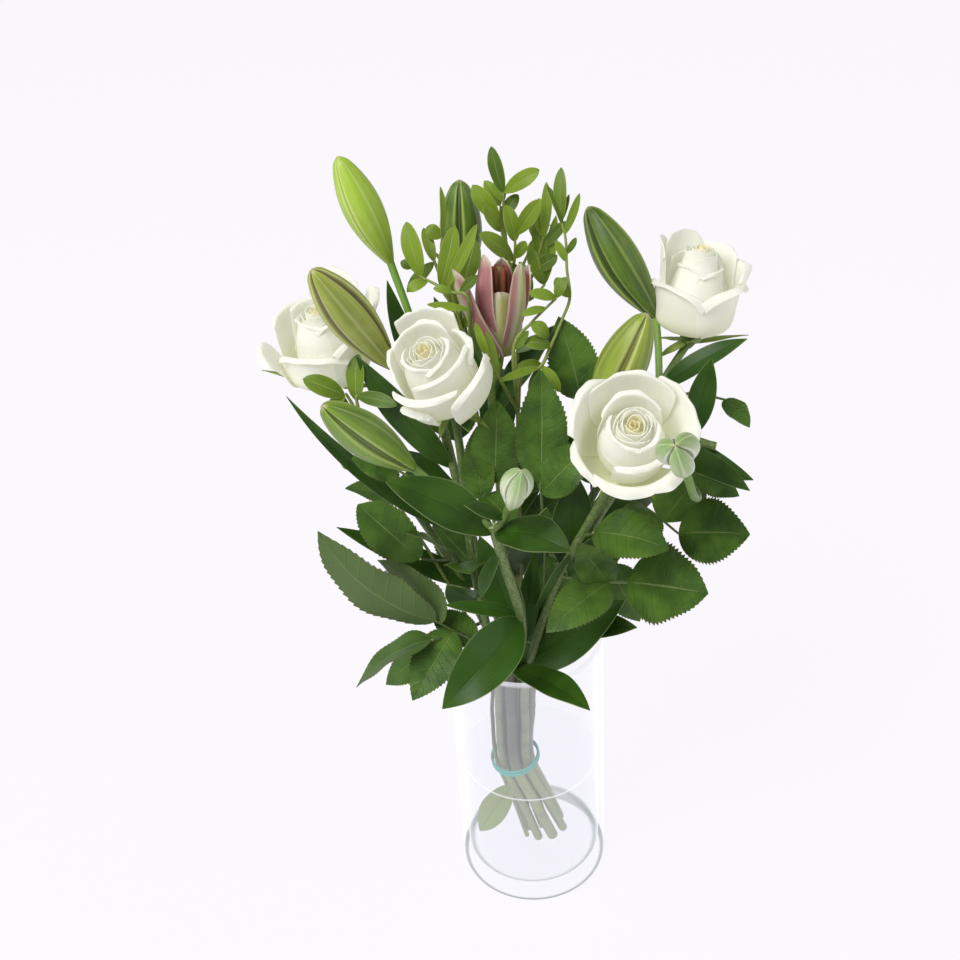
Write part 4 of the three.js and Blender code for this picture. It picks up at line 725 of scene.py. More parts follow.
def rounded(corners, steps=6):
    """A profile through corners of (x, z, radius), each rounded off by its radius."""
    points = []
    for i, (x, z, radius) in enumerate(corners):
        here = Vector((x, z))
        if radius == 0:
            points.append(tuple(here))
            continue
        before = Vector(corners[i - 1][:2])
        after = Vector(corners[i + 1][:2])
        start = here + (before - here).normalized() * radius
        end = here + (after - here).normalized() * radius
        for step in range(steps + 1):
            t = step / steps
            point = start * (1 - t) ** 2 + here * 2 * t * (1 - t) + end * t**2
            points.append(tuple(point))
    return points


# ------------------------------------------------------------------ finishes


class Wire:
    """A socket with a number on it; an expression on wires adds Math nodes."""

    def __init__(self, finish, socket):
        self.finish = finish
        self.socket = socket

    def math(self, operation, *others, first=None):
        values = [self if first is None else first, *others]
        return self.finish.node("Math", {"operation": operation}, dict(enumerate(values)))

    def __add__(self, other):
        return self.math("ADD", other)

    def __radd__(self, other):
        return self.math("ADD", self, first=other)

    def __sub__(self, other):
        return self.math("SUBTRACT", other)

    def __rsub__(self, other):
        return self.math("SUBTRACT", self, first=other)

    def __mul__(self, other):
        return self.math("MULTIPLY", other)

    def __rmul__(self, other):
        return self.math("MULTIPLY", self, first=other)

    def __truediv__(self, other):
        return self.math("DIVIDE", other)

    def __pow__(self, other):
        return self.math("POWER", other)

    def __abs__(self):
        return self.math("ABSOLUTE")

    def between(self, low, high):
        """0 at low, 1 at high, smooth between and held beyond; low may be above high."""
        settings = {"interpolation_type": "SMOOTHSTEP", "clamp": True}
        if low > high:
            return 1 - self.between(high, low)
        return self.finish.node("MapRange", settings, {"Value": self, 1: low, 2: high})


class Finish:
    """A material in the making."""

    def __init__(self, name):
        self.material = bpy.data.materials.new(name)
        self.material.use_nodes = True
        self.tree = self.material.node_tree
        self.tree.nodes.clear()

    def node(self, kind, settings=None, inputs=None, output=0):
        """Adds a node: its settings first, then values or wires on its sockets."""
        made = self.tree.nodes.new("ShaderNode" + kind)
        for key, value in (settings or {}).items():
            setattr(made, key, value)
        for key, value in (inputs or {}).items():
            if isinstance(value, Wire):
                self.tree.links.new(value.socket, made.inputs[key])
            else:
                made.inputs[key].default_value = value
        return Wire(self, made.outputs[output]) if made.outputs else None

    def place(self):
        """Object coordinates, in metres."""
        return self.node("TexCoord", output="Object")

    def grain(self):
        """The two grain coordinates of the piece."""
        both = self.node("UVMap", {"uv_map": "grain"})
        return self.split(both)[:2]

    def tone(self):
        """The seed, the mark and the underside mask of the piece."""
        all_three = self.node("Attribute", {"attribute_name": "tone"}, output="Vector")
        return self.split(all_three)

    def split(self, vector):
        split = self.node("SeparateXYZ", {}, {0: vector}).socket.node
        return [Wire(self, output) for output in split.outputs]

    def join(self, x, y, z=0.0):
        return self.node("CombineXYZ", {}, {0: x, 1: y, 2: z})

    def noise(self, scale, detail=3, vector=None):
        inputs = {"Vector": vector or self.place(), "Scale": scale, "Detail": detail}
        return self.node("TexNoise", {}, inputs)

    def cells(self, scale):
        """Distance to the nearest line of a net of cells."""
        inputs = {"Vector": self.place(), "Scale": scale}
        return self.node("TexVoronoi", {"feature": "DISTANCE_TO_EDGE"}, inputs)

    def mix(self, factor, a, b):
        """Colour a turning to b."""
        return self.node("Mix", {"data_type": "RGBA"}, {0: factor, 6: a, 7: b}, output=2)

    def bump(self, height, distance):
        return self.node("Bump", {}, {"Height": height, "Distance": distance, "Strength": 1})

    def principled(self, **inputs):
        """The main shader: socket names with _ for a space."""
        named = {key.replace("_", " "): value for key, value in inputs.items()}
        return self.node("BsdfPrincipled", {}, named)

    def blend(self, factor, first, second):
        """Shader first turning to second."""
        return self.node("MixShader", {}, {0: factor, 1: first, 2: second})

    def surface(self, glow=None, share=0.0, **inputs):
        """Ends the material; a share of it may be light let through, of the colour glow."""
        shader = self.principled(**inputs)
        if glow:
            thin = self.node("BsdfTranslucent", {}, {"Color": glow})
            shader = self.blend(share, shader, thin)
        return self.output(shader)

    def output(self, shader):
        self.node("OutputMaterial", {}, {"Surface": shader})
        return self.material


def rgb(red, green, blue):
    """A colour as seen, from 0 to 255, for a colour socket."""
    def linear(value):
        share = value / 255
        return share / 12.92 if share <= 0.04045 else ((share + 0.055) / 1.055) ** 2.4
    return (linear(red), linear(green), linear(blue), 1)


def glass_finish():
    """Clear glass: a thin white veil that glows as painted reflection, brighter at the lip as a painted
    highlight, and painted grey shade of refraction at the foot and edge on.
    """
    finish = Finish("vase_glass")
    lip, foot, _ = finish.tone()
    edge = finish.node("LayerWeight", {}, {"Blend": 0.5}, output="Facing")
    # Painted grey shade where the glass refracts: at the foot, the inside corner and where it is seen
    # edge on.
    painted_refraction_grey = (edge**7 * 0.5 + foot).between(0, 1)
    clear = finish.node("BsdfTransparent", {}, {"Color": (0.996, 0.996, 1, 1)})
    # The veil glows white as painted reflection, more at the lip as a painted highlight.
    painted_glow_veil = finish.principled(
        Base_Color=rgb(70, 70, 74), Roughness=0.1 + finish.noise(60, 4) * 0.04, IOR=1.46,
        Emission_Color=finish.mix(painted_refraction_grey, rgb(233, 232, 241), rgb(104, 118, 110)),
        Emission_Strength=1,
    )
    return finish.output(finish.blend(0.14 + painted_refraction_grey * 0.62 + lip * 0.5, clear, painted_glow_veil))


def water_finish():
    """Clear water: a painted white highlight where it climbs the glass and faint painted grey shade
    where it's edge on, on a veil that glows as painted reflection.
    """
    finish = Finish("vase_water")
    _, line, _ = finish.tone()
    edge = finish.node("LayerWeight", {}, {"Blend": 0.5}, output="Facing")
    clear = finish.node("BsdfTransparent", {}, {"Color": (0.985, 0.99, 0.99, 1)})
    painted_glow_veil = finish.principled(
        # The veil glows white as painted reflection, with a painted highlight along the meniscus and
        # painted grey shade where the water is seen edge on.
        Base_Color=rgb(60, 62, 62), Roughness=0.04, IOR=1.333,
        Emission_Color=finish.mix(edge**5, rgb(244, 244, 250), rgb(196, 200, 202)),
        Emission_Strength=1, Normal=finish.bump(finish.noise(25, 1), 0.0002),
    )
    return finish.output(finish.blend((line * 0.75 + edge**5 * 0.3 + 0.08).between(0, 1), clear, painted_glow_veil))


def rubber_finish():
    finish = Finish("band_rubber")
    fleck = finish.noise(900, 3)
    colour = finish.mix(fleck, rgb(22, 150, 140), rgb(70, 200, 185))
    return finish.surface(
        Base_Color=colour, Roughness=0.45 + fleck * 0.2,
        Normal=finish.bump(finish.noise(1500, 2), 0.00008),
    )


# Heights in metres between which the stems' colour turns: to a painted pale haze under the water, to
# painted shade in the glass above it, and to fresh green at the top.
WET_AND_HAZED = (0.125, 0.09)
SHADED = (0.24, 0.2)
FRESH = (0.31, 0.4)


def stem_finish(name, dark, light, pale, fresh, ribs):
    """A stem: fine ribs and blotches, fresh green at the top, painted shade in the glass and, under the
    water, a painted pale haze and bruises.

    It is pale too where it is cut.
    """
    finish = Finish(name)
    u, v = finish.grain()
    seed, mark, _ = finish.tone()
    _, _, z = finish.split(finish.place())
    # Under the water: a painted pale haze and bruises; in the glass above it: painted shade.
    wet_and_hazed = z.between(*WET_AND_HAZED)
    shaded = z.between(*SHADED) * (1 - wet_and_hazed)
    ring = finish.noise(1, 2, finish.join(seed * 50, z * 80)).between(0.5, 0.65)
    fibre = finish.noise(6, 4, finish.join(u * ribs, v * 9, seed * 10))
    blotch = finish.noise(90, 3)
    colour = finish.mix(fibre.between(0.3, 0.7), dark, light)
    colour = finish.mix(blotch.between(0.55, 0.8) * 0.08, colour, pale)
    # The painted shade in the glass, darker or lighter by stem, with brownish rings at the nodes.
    painted_shade = finish.mix(seed.between(0.3, 0.7), rgb(28, 32, 26), rgb(120, 132, 92))
    painted_shade = finish.mix(ring * 0.5, painted_shade, rgb(84, 74, 66))
    colour = finish.mix(shaded * 0.75, colour, painted_shade)
    colour = finish.mix(z.between(*FRESH) * 0.7, colour, fresh)
    # Paler under the water: a painted haze of the light in the water and glass.
    colour = finish.mix(wet_and_hazed * 0.7, colour, rgb(158, 172, 108))
    bruise = finish.noise(70, 3).between(0.56, 0.68)
    colour = finish.mix(wet_and_hazed * bruise * 0.6, colour, rgb(128, 98, 92))
    colour = finish.mix(mark, colour, pale)
    return finish.surface(
        Base_Color=colour, Roughness=0.42 + fibre * 0.2, Coat_Weight=0.1, Coat_Roughness=0.3,
        Normal=finish.bump(fibre, 0.0003),
    )


def lily_leaf_finish():
    """A lily leaf: faint parallel veins, a thin pale margin and a grey-green underside."""
    finish = Finish("lily_leaf")
    x, v = finish.grain()
    seed, _, under = finish.tone()
    u = abs(x * 2 - 1)
    line = abs((u * 7 + seed * 3).math("FRACT") - 0.5) * 2
    line = line.between(0.7, 1)
    rib = u.between(0.06, 0.0)
    margin = u.between(0.95, 1)
    patchy = finish.noise(45, 4)
    fine = finish.noise(30, 2, finish.join(u * 6, v * 0.4, seed * 7))
    upper = finish.mix(patchy.between(0.3, 0.7), rgb(26, 54, 8), rgb(60, 98, 18))
    upper = finish.mix(seed * 0.8, upper, rgb(44, 84, 10))
    upper = finish.mix(v.between(0.75, 1) * 0.3, upper, rgb(90, 126, 30))
    colour = finish.mix(under, upper, rgb(84, 112, 58))
    colour = finish.mix(fine.between(0.4, 0.8) * 0.25, colour, rgb(92, 120, 52))
    colour = finish.mix(line * 0.1, colour, rgb(126, 150, 78))
    colour = finish.mix(rib * 0.35, colour, rgb(34, 58, 24))
    colour = finish.mix(margin * 0.35, colour, rgb(176, 190, 130))
    height = line * 0.4 - rib * 0.9 + patchy * 0.5
    return finish.surface(
        glow=rgb(104, 160, 16), share=0.16,
        Base_Color=colour, Roughness=0.3 + under * 0.2 + patchy * 0.12,
        Specular_IOR_Level=0.32, Normal=finish.bump(height, 0.00016),
    )


def rose_leaf_finish():
    """A rose leaflet: a pale midrib, side veins and a fine net, with a reddish margin."""
    finish = Finish("rose_leaf")
    x, v = finish.grain()
    seed, mark, under = finish.tone()
    u = abs(x * 2 - 1)
    rib = u.between(0.045, 0.0)
    side = abs((v * 8.5 - u * 1.15 + seed).math("FRACT") - 0.5) * 2
    side = side.between(0.88, 1) * (1 - mark)
    net = finish.cells(820).between(0.14, 0.0) * (1 - mark)
    patchy = finish.noise(60, 4)
    upper = finish.mix(patchy.between(0.3, 0.7), rgb(44, 78, 18), rgb(98, 138, 44))
    upper = finish.mix(seed * 0.7, upper, rgb(70, 106, 30))
    colour = finish.mix(under, upper, rgb(96, 120, 66))
    colour = finish.mix(net * 0.12, colour, rgb(116, 142, 66))
    colour = finish.mix(side * 0.28, colour, rgb(128, 152, 78))
    colour = finish.mix(rib * 0.6, colour, rgb(156, 174, 104))
    colour = finish.mix(mark * 0.8, colour, rgb(150, 170, 84))
    colour = finish.mix(u.between(0.93, 1) * 0.3, colour, rgb(120, 104, 60))
    height = patchy * 0.4 - side * 0.8 - rib - net * 0.35 + under * side * 1.6
    return finish.surface(
        glow=rgb(116, 165, 24), share=0.16,
        Base_Color=colour, Roughness=0.36 + under * 0.2 + patchy * 0.1,
        Specular_IOR_Level=0.35, Normal=finish.bump(height, 0.00035),
    )


def pistache_leaf_finish():
    """A pistache leaflet: yellow-green with a pale rib, thin veins and a pale margin."""
    finish = Finish("pistache_leaf")
    x, v = finish.grain()
    seed, _, under = finish.tone()
    u = abs(x * 2 - 1)
    rib = u.between(0.08, 0.0)
    side = abs((v * 9 - u * 1.6).math("FRACT") - 0.5) * 2
    side = side.between(0.8, 1)
    margin = u.between(0.9, 1)
    patchy = finish.noise(70, 3)
    young = finish.mix(patchy, rgb(106, 144, 14), rgb(150, 174, 46))
    old = finish.mix(patchy, rgb(58, 92, 12), rgb(98, 128, 26))
    colour = finish.mix(seed.between(0.35, 0.95), young, old)
    colour = finish.mix(under * 0.5, colour, rgb(146, 168, 92))
    colour = finish.mix(side * 0.15, colour, rgb(170, 186, 106))
    colour = finish.mix(rib * 0.6, colour, rgb(186, 196, 126))
    colour = finish.mix(margin * 0.45, colour, rgb(196, 200, 140))
    height = patchy * 0.4 - side * 0.5 - rib
    return finish.surface(
        glow=rgb(170, 190, 60), share=0.2,
        Base_Color=colour, Roughness=0.42 + patchy * 0.15, Normal=finish.bump(height, 0.0002),
    )


def bud_finish(name, lobe, dark, pale, flush, valley, green_tip=(2, 3)):
    """A lily bud: smooth lobes, pale lips along each seam and a valley, in degrees, between, darkened
    with painted shade and browned where its mark says.

    Between the two shares of its length in green_tip it turns to its dark colour.
    """
    finish = Finish(name)
    x, v = finish.grain()
    seed, mark, _ = finish.tone()
    seam = abs((x * 3 + 0.5).math("FRACT") - 0.5) * 120
    groove = seam.between(valley + 3, valley * 0.4)
    lip = seam.between(valley, valley + 3) * seam.between(valley + 12, valley + 5)
    line = seam.between(2, 0.5)
    rib = seam.between(53, 59)
    stripe = finish.noise(4, 3, finish.join(x * 16, v * 0.9, seed * 9))
    patchy = finish.noise(55, 3)
    colour = finish.mix(stripe.between(0.4, 0.75) * 0.4, lobe, dark)
    colour = finish.mix(seam.between(30, 54) * 0.5, colour, dark)
    colour = finish.mix(v.between(*green_tip) * 0.8, colour, dark)
    colour = finish.mix(patchy.between(0.5, 0.8) * 0.2, colour, pale)
    colour = finish.mix(rib * 0.3, colour, pale)
    colour = finish.mix(lip * 0.6, colour, pale)
    # The valleys turn dark: painted shade in the creases, and brown as far as the mark says.
    colour = finish.mix(groove * 0.9, colour, finish.mix(mark, dark, flush))
    colour = finish.mix(line * 0.25, colour, pale)
    colour = finish.mix(v.between(0.95, 0.985) * 0.7, colour, rgb(206, 190, 150))
    return finish.surface(
        Base_Color=colour, Roughness=0.34 + stripe * 0.2, Coat_Weight=0.08, Coat_Roughness=0.3,
        Normal=finish.bump(stripe * 0.6 + lip * 0.4, 0.0003),
    )


def rose_petal_finish():
    """A rose petal: white, cream-yellow in the heart and greener at the foot, with a faint painted glow
    of its own colour that lifts its shade.
    """
    finish = Finish("rose_petal")
    x, v = finish.grain()
    seed, mark, _ = finish.tone()
    vein = finish.noise(4, 3, finish.join(x * 9, v * 0.9, seed * 11))
    soft = finish.noise(70, 2)
    colour = finish.mix(mark.between(0.0, 0.3), rgb(246, 238, 190), rgb(248, 248, 242))
    colour = finish.mix(v.between(0.5, 0.0) * 0.8, colour, rgb(226, 232, 178))
    colour = finish.mix(vein.between(0.45, 0.8) * 0.1, colour, rgb(240, 240, 224))
    colour = finish.mix(soft.between(0.5, 0.8) * 0.08, colour, rgb(246, 242, 228))
    return finish.surface(
        glow=rgb(246, 246, 232), share=0.36,
        Base_Color=colour, Roughness=0.5, Sheen_Weight=0.1, Specular_IOR_Level=0.3,
        # A faint painted glow of the petal's own colour, lifting the shade between petals.
        Emission_Color=colour, Emission_Strength=0.1,
        Normal=finish.bump(vein, 0.00015),
    )


def tepal_finish():
    """An opening tepal: pink outside with a green band where its mark says, brown-red inside."""
    finish = Finish("lily_tepal")
    x, v = finish.grain()
    seed, mark, under = finish.tone()
    stripe = finish.noise(5, 3, finish.join(x * 12, v * 1.2, seed * 9))
    band = abs(x - mark)
    green = finish.mix(stripe, rgb(172, 172, 92), rgb(206, 206, 140))
    cream = rgb(232, 226, 200)
    pink = finish.mix(stripe, rgb(166, 96, 100), rgb(216, 160, 160))
    outside = finish.mix(band.between(0.1, 0.3) * 0.7, green, cream)
    outside = finish.mix(band.between(0.24, 0.5), outside, pink)
    # Darker and greener towards the foot: partly its own greener colour, partly painted shade.
    outside = finish.mix(v.between(0.35, 0.0) * 0.6, outside, rgb(120, 124, 56))
    outside = finish.mix(abs(x * 2 - 1).between(0.86, 1) * 0.7, outside, cream)
    inside = finish.mix(stripe, rgb(104, 48, 36), rgb(168, 96, 74))
    inside = finish.mix(abs(x * 2 - 1).between(0.6, 1), inside, pink)
    colour = finish.mix(under, outside, inside)
    colour = finish.mix(v.between(0.86, 1) * 0.8, colour, cream)
    return finish.surface(
        glow=rgb(236, 190, 160), share=0.15,
        Base_Color=colour, Roughness=0.45, Normal=finish.bump(stripe, 0.0003),
    )


def stamen_finish():
    finish = Finish("lily_stamen")
    _, mark, _ = finish.tone()
    grains = finish.noise(1400, 2)
    anther = finish.mix(grains, rgb(112, 54, 36), rgb(168, 96, 64))
    colour = finish.mix(mark, rgb(176, 170, 112), anther)
    return finish.surface(
        Base_Color=colour, Roughness=0.75, Normal=finish.bump(grains, 0.0003),
    )


def floor_finish():
    finish = Finish("floor")
    patchy = finish.noise(3, 2)
    colour = finish.mix(patchy, rgb(64, 64, 65), rgb(66, 66, 67))
    return finish.surface(
        Base_Color=colour, Roughness=0.9, Emission_Color=(0.975, 0.955, 1, 1),
        Emission_Strength=FLOOR_GLOW, Specular_IOR_Level=0,
    )


# ------------------------------------------------------------------ leaves

BLADE_KINDS = {
    "lily": dict(columns=12, rows=40, rise=0.8, fall=0.95, teeth=0, fold=0.22, wave=0.07, tip=0.12),
    "rose": dict(columns=14, rows=88, rise=0.6, fall=0.95, teeth=22, fold=0.14, wave=0.08, tip=0.1),
    "sepal": dict(columns=6, rows=20, rise=0.3, fall=1.1, teeth=0, fold=-0.25, wave=0.05, tip=0.1),
    "leaflet": dict(columns=8, rows=16, rise=0.7, fall=0.7, teeth=0, fold=0.12, wave=0.05, tip=0.1),
}
TOOTH_DEPTH = 0.11            # of a serrated edge, as a share of the half width
TOOTH_LEAN = 0.05             # how far a tooth's end leans to the tip, as the same share


def outline(kind, v):
    """Half width of a blade as a share of its widest."""
    rise, fall = kind["rise"], kind["fall"]
    peak = rise / (rise + fall)
    widest = peak**rise * (1 - peak) ** fall
    return v**rise * max(1 - v, 0) ** fall / widest


def add_blade(piece, kind_name, rng, root, tip, width, lift, face=SUN, sway=0, twist=0, mark=0):
    """A blade from root to tip: lift bows it along its face, sway to its side."""
    kind = BLADE_KINDS[kind_name]
    start, end = Vector(root), Vector(tip)
    up = Vector(face).normalized()
    side = (end - start).cross(up).normalized()
    middle = (start + end) / 2 + up * 2 * lift + side * 2 * sway
    phase = rng.uniform(0, 1)
    waves = rng.uniform(1.4, 2.4)
    seed = rng.random()
    sections = {}

    def section(v):
        if v not in sections:
            centre = start * (1 - v) ** 2 + middle * 2 * v * (1 - v) + end * v**2
            along = ((middle - start) * (1 - v) + (end - middle) * v).normalized()
            normal = (up - along * up.dot(along)).normalized()
            normal.rotate(Quaternion(along, math.radians(twist) * v))
            half = max(0.5 * width * outline(kind, v), kind["tip"])
            sections[v] = centre, along, normal, along.cross(normal), half
        return sections[v]

    def place(a, v):
        u = 2 * a - 1
        centre, along, normal, across, half = section(v)
        saw = (v * kind["teeth"] + 0.15) % 1 if kind["teeth"] else 0
        edge = abs(u) ** 6
        reach = half * (1 + TOOTH_DEPTH * saw**1.3 * edge)
        bend = math.sin(2 * math.pi * (waves * v + phase + 0.25 * math.copysign(1, u)))
        rise = half * (kind["fold"] * abs(u) + kind["wave"] * bend * u * u)
        return centre + across * u * reach + normal * rise + along * saw * edge * half * TOOTH_LEAN

    piece.sheet(place, LEAF_THICKNESS, kind["columns"], kind["rows"], (seed, mark))


# ------------------------------------------------------------------ stems


def add_stem(piece, route, start, end, rng, sides=16, ribs=6, knots=()):
    """A stem with faint ribs, swollen a little at its knots and at its cut foot."""
    phase = rng.uniform(0, 2 * math.pi)

    def radius(s, angle):
        size = lerp(start, end, s) * (1 + 0.018 * math.sin(ribs * angle + phase))
        return size * (1 + sum(0.09 * hump(s, knot, 0.006) for knot in knots))

    piece.tube(route, radius, sides, per_span=10, tone=(rng.random(), 0))


def make_lily(name, slot, above, pedicels, leaves, finishes):
    rng = random.Random(f"{SEED} {name}")
    stem = Route(through_bunch(slot) + above)
    stalks = Piece(name + "_stalk")
    scars = [rng.uniform(0.3, 0.95) for _ in range(9)]
    add_stem(stalks, stem, LILY_STEM_RADIUS, LILY_STEM_RADIUS * 0.72, rng, 18, ribs=9, knots=scars)
    routes = [stem]
    for points in pedicels:
        routes.append(Route(points))
        add_stem(stalks, routes[-1], PEDICEL_RADIUS, PEDICEL_RADIUS * 1.15, rng, sides=14)
    stalks.finish(finishes["lily_stem"], "lily_green", name)
    blades = Piece(name + "_leaves")
    for guess, *rest in leaves:
        near = [route.nearest(guess) for route in routes]
        root = min(near, key=lambda point: (point - Vector(guess)).length)
        add_blade(blades, "lily", rng, root, *rest)
    blades.finish(finishes["lily_leaf"], "lily_green", name)


def add_sprigs(stalks, blades, stem, sprigs, kind, rng):
    """Thin stalks on a stem, each with its leaflets."""
    for stalk, leaflets in sprigs:
        petiole = Route([stem.nearest(stalk[0])] + stalk[1:])
        add_stem(stalks, petiole, PETIOLE_RADIUS * 1.3, PETIOLE_RADIUS * 0.8, rng, 10, ribs=3)
        for guess, *rest in leaflets:
            root = petiole.samples[-1] if guess is END else petiole.nearest(guess)
            add_blade(blades, kind, rng, root, *rest)


def add_thorn(piece, stem, share, turn, rng):
    """A small cone that stands out from the stem and bends down."""
    angle = math.radians(turn)
    out = Vector((math.cos(angle), math.sin(angle), -0.1)).normalized()
    root = stem.at(stem.even(share))
    points = [root + out * 1.2, root + out * 4.5, root + out * 7 - Vector((0, 0, 1.2))]
    piece.tube(
        Route(points), lambda s, a: lerp(1.7, 0.12, s**0.7), sides=8, per_span=3,
        tone=(rng.random(), 0),
    )


THORNS = (0.45, 0.61, 0.77)   # how far along its stem each thorn of a rose stands
THORN_TURN = 140              # degrees from one thorn to the next
STEM_BELOW_BLOOM = 6          # the stem ends this far inside the calyx


def make_rose(name, slot, above, bloom, sepals, sprigs, finishes, dipped=None):
    rng = random.Random(f"{SEED} {name}")
    top = Vector(bloom["base"]) - Vector(bloom["axis"]).normalized() * STEM_BELOW_BLOOM
    stem = Route(through_bunch(slot) + above + [top])
    stalks = Piece(name + "_stalk")
    blades = Piece(name + "_leaves")
    add_stem(stalks, stem, ROSE_STEM_RADIUS, ROSE_STEM_RADIUS * 0.8, rng, 16, ribs=5)
    for i, share in enumerate(THORNS):
        add_thorn(stalks, stem, share, THORN_TURN * i, rng)
    add_sprigs(stalks, blades, stem, sprigs, "rose", rng)
    if dipped:
        guess, *rest = dipped
        add_blade(blades, "lily", rng, stem.nearest(guess), *rest, mark=1)
    stalks.finish(finishes["rose_stem"], "rose_green", name)
    blades.finish(finishes["rose_leaf"], "rose_green", name)
    make_calyx(name, bloom, sepals, rng, finishes)


CUP = [(0, -9), (2.2, -9), (3.4, -7.5), (5, -5), (5.7, -2.6), (5.3, -0.6), (4.4, 0.8), (0, 1.2)]
SEPAL_ROOT = (3.5, -4)        # radius and height where the sepals leave the cup
SEPAL_WIDTH = 8
SEPAL_SPREAD = 6              # how far a sepal's tip stands out beyond its own reach


def make_calyx(name, bloom, sepals, rng, finishes):
    """The green cup under a rose and its five sepals, bent back by their droop."""
    piece = Piece(name.replace("stem", "calyx"))
    piece.turned_shape(CUP, sides=24)
    for turn, reach, droop in sepals:
        angle = math.radians(turn)
        fall = math.radians(droop)
        out = Vector((math.cos(angle), math.sin(angle), 0))
        root = out * SEPAL_ROOT[0] + Vector((0, 0, SEPAL_ROOT[1]))
        tip = out * (SEPAL_SPREAD + reach * math.cos(fall))
        tip.z = -reach * math.sin(fall)
        add_blade(piece, "sepal", rng, root, tip, SEPAL_WIDTH, 1, (0, 0, 1), mark=1)
    piece.move(standing(bloom["base"], bloom["axis"]))
    piece.finish(finishes["rose_leaf"], "rose_green", name)


def make_branch(name, slot, above, sprigs, finishes):
    rng = random.Random(f"{SEED} {name}")
    stem = Route(through_bunch(slot) + above)
    stalks = Piece(name + "_stalk")
    blades = Piece(name + "_leaves")
    add_stem(stalks, stem, BRANCH_RADIUS, BRANCH_RADIUS * 0.5, rng, 12, ribs=3)
    add_sprigs(stalks, blades, stem, sprigs, "leaflet", rng)
    stalks.finish(finishes["branch"], "branch_green", name)
    blades.finish(finishes["pistache_leaf"], "branch_green", name)


# ------------------------------------------------------------------ roses

FURLED = 14                   # petals in the heart
TURN_BETWEEN = 137.5          # degrees from one of these to the next
PETAL_FOOT = 4                # radius where the outer petals leave the flower's base
PETAL_SHARP = 80              # degrees: only a petal's rim is a sharp edge, not its roll


def add_furled(piece, share, angle, rng):
    """One petal of the heart; share is 0 in the middle and 1 outside, and rims lean inwards."""
    half = lerp(150, 70, share**0.6)
    height = 50 - 3 * share**1.6 + rng.uniform(-0.5, 0.5)
    spiral = rng.choice((-1, 1)) * 0.045
    phase = rng.uniform(0, 6.28)
    lip = 0.3 + 0.7 * share**2

    def place(a, v):
        u = 2 * a - 1
        q = min(max(share + spiral * u, 0.0), 1.03)
        claw = lerp(0.5, 1, min(v * 2.2, 1))
        corner = math.sqrt(1 - 0.5 * max(2 * v - 1, 0) ** 4)
        swing = math.radians(angle + u * half * claw * corner)
        foot = 1 + 5 * q
        belly = 3.5 + 15.5 * q**0.75
        rim = 1 + 9.5 * q**0.9
        radius = lerp(lerp(foot, belly, smooth(0, 0.5, v)), rim, smooth(0.42, 1, v))
        curl = smooth(0.86, 1, v)
        radius += lip * curl**2 + 0.35 * math.sin(3 * u + phase) * v**3
        z = lerp(2 - q, height, v) - 3.5 * abs(u) ** 2.5 * v**3 - 0.5 * lip * curl**3
        return Vector((radius * math.cos(swing), radius * math.sin(swing), z))

    piece.sheet(place, PETAL_THICKNESS, columns=20, rows=20, tone=(rng.random(), share * 0.5))


def add_outer_petal(piece, rng, turn, half, belly, rim, height, roll, drop):
    """A wide cup from the foot through its belly to the rim, then rolled out by roll."""
    profile = Route([
        (PETAL_FOOT, 0, 0),
        (belly * 0.9, 0, height * 0.2),
        (lerp(belly, rim, 0.35), 0, height * 0.62),
        (rim - 0.1 * roll, 0, height * 0.96),
        (rim + 0.45 * roll, 0, height),
        (rim + roll, 0, height - roll * 0.35),
    ])
    phase = rng.uniform(0, 6.28)
    waves = rng.uniform(3, 5)

    def place(a, v):
        u = 2 * a - 1
        point = profile.at(v * (1 - 0.24 * abs(u) ** 2.4))
        claw = lerp(0.8, 1, min(v * 2.2, 1))
        corner = math.sqrt(1 - 0.3 * max(2 * v - 1, 0) ** 2)
        swing = math.radians(turn + u * half * claw * corner)
        ripple = (math.sin(waves * u + phase) + 0.4 * math.sin(11 * u - phase)) * v**4
        radius = point.x + 0.7 * ripple + 1.2 * abs(u) ** 5 * v
        z = point.z - drop * u * u * v * v + 0.9 * ripple
        return Vector((radius * math.cos(swing), radius * math.sin(swing), z))

    piece.sheet(place, PETAL_THICKNESS, columns=28, rows=36, tone=(rng.random(), 1))


# The petals between the heart and those given for each rose: one stands open at the back.
MIDDLE_PETALS = [
    (95, 72, 18.5, 16.5, 48.5, 2, 3),
    (215, 78, 18.8, 12.4, 45, 1, 4),
    (335, 78, 19.2, 13, 44, 1.2, 5),
]


def make_bloom(name, base, axis, size, turn, petals, finishes, tall=1):
    """A rose on its base: size and tall scale the heart, and each outer petal has its own."""
    rng = random.Random(f"{SEED} {name}")
    piece = Piece(name + "_petals")
    for i in range(FURLED):
        share = (i / (FURLED - 1)) ** 0.9
        add_furled(piece, share, turn + TURN_BETWEEN * i + rng.uniform(-8, 8), rng)
    piece.move(Matrix.Diagonal((size, size, size * tall, 1)))
    for petal in MIDDLE_PETALS + petals:
        add_outer_petal(piece, rng, *petal)
    piece.move(standing(base, axis))
    piece.finish(finishes["rose_petal"], "rose_petal", name, sharp=PETAL_SHARP)


# ------------------------------------------------------------------ lily buds and the opening lily

BUD_TIP = 0.93                # from here on a bud's end is rounded off
SMALL_GROOVE = 14             # the valleys of the small buds are this much wider, in degrees


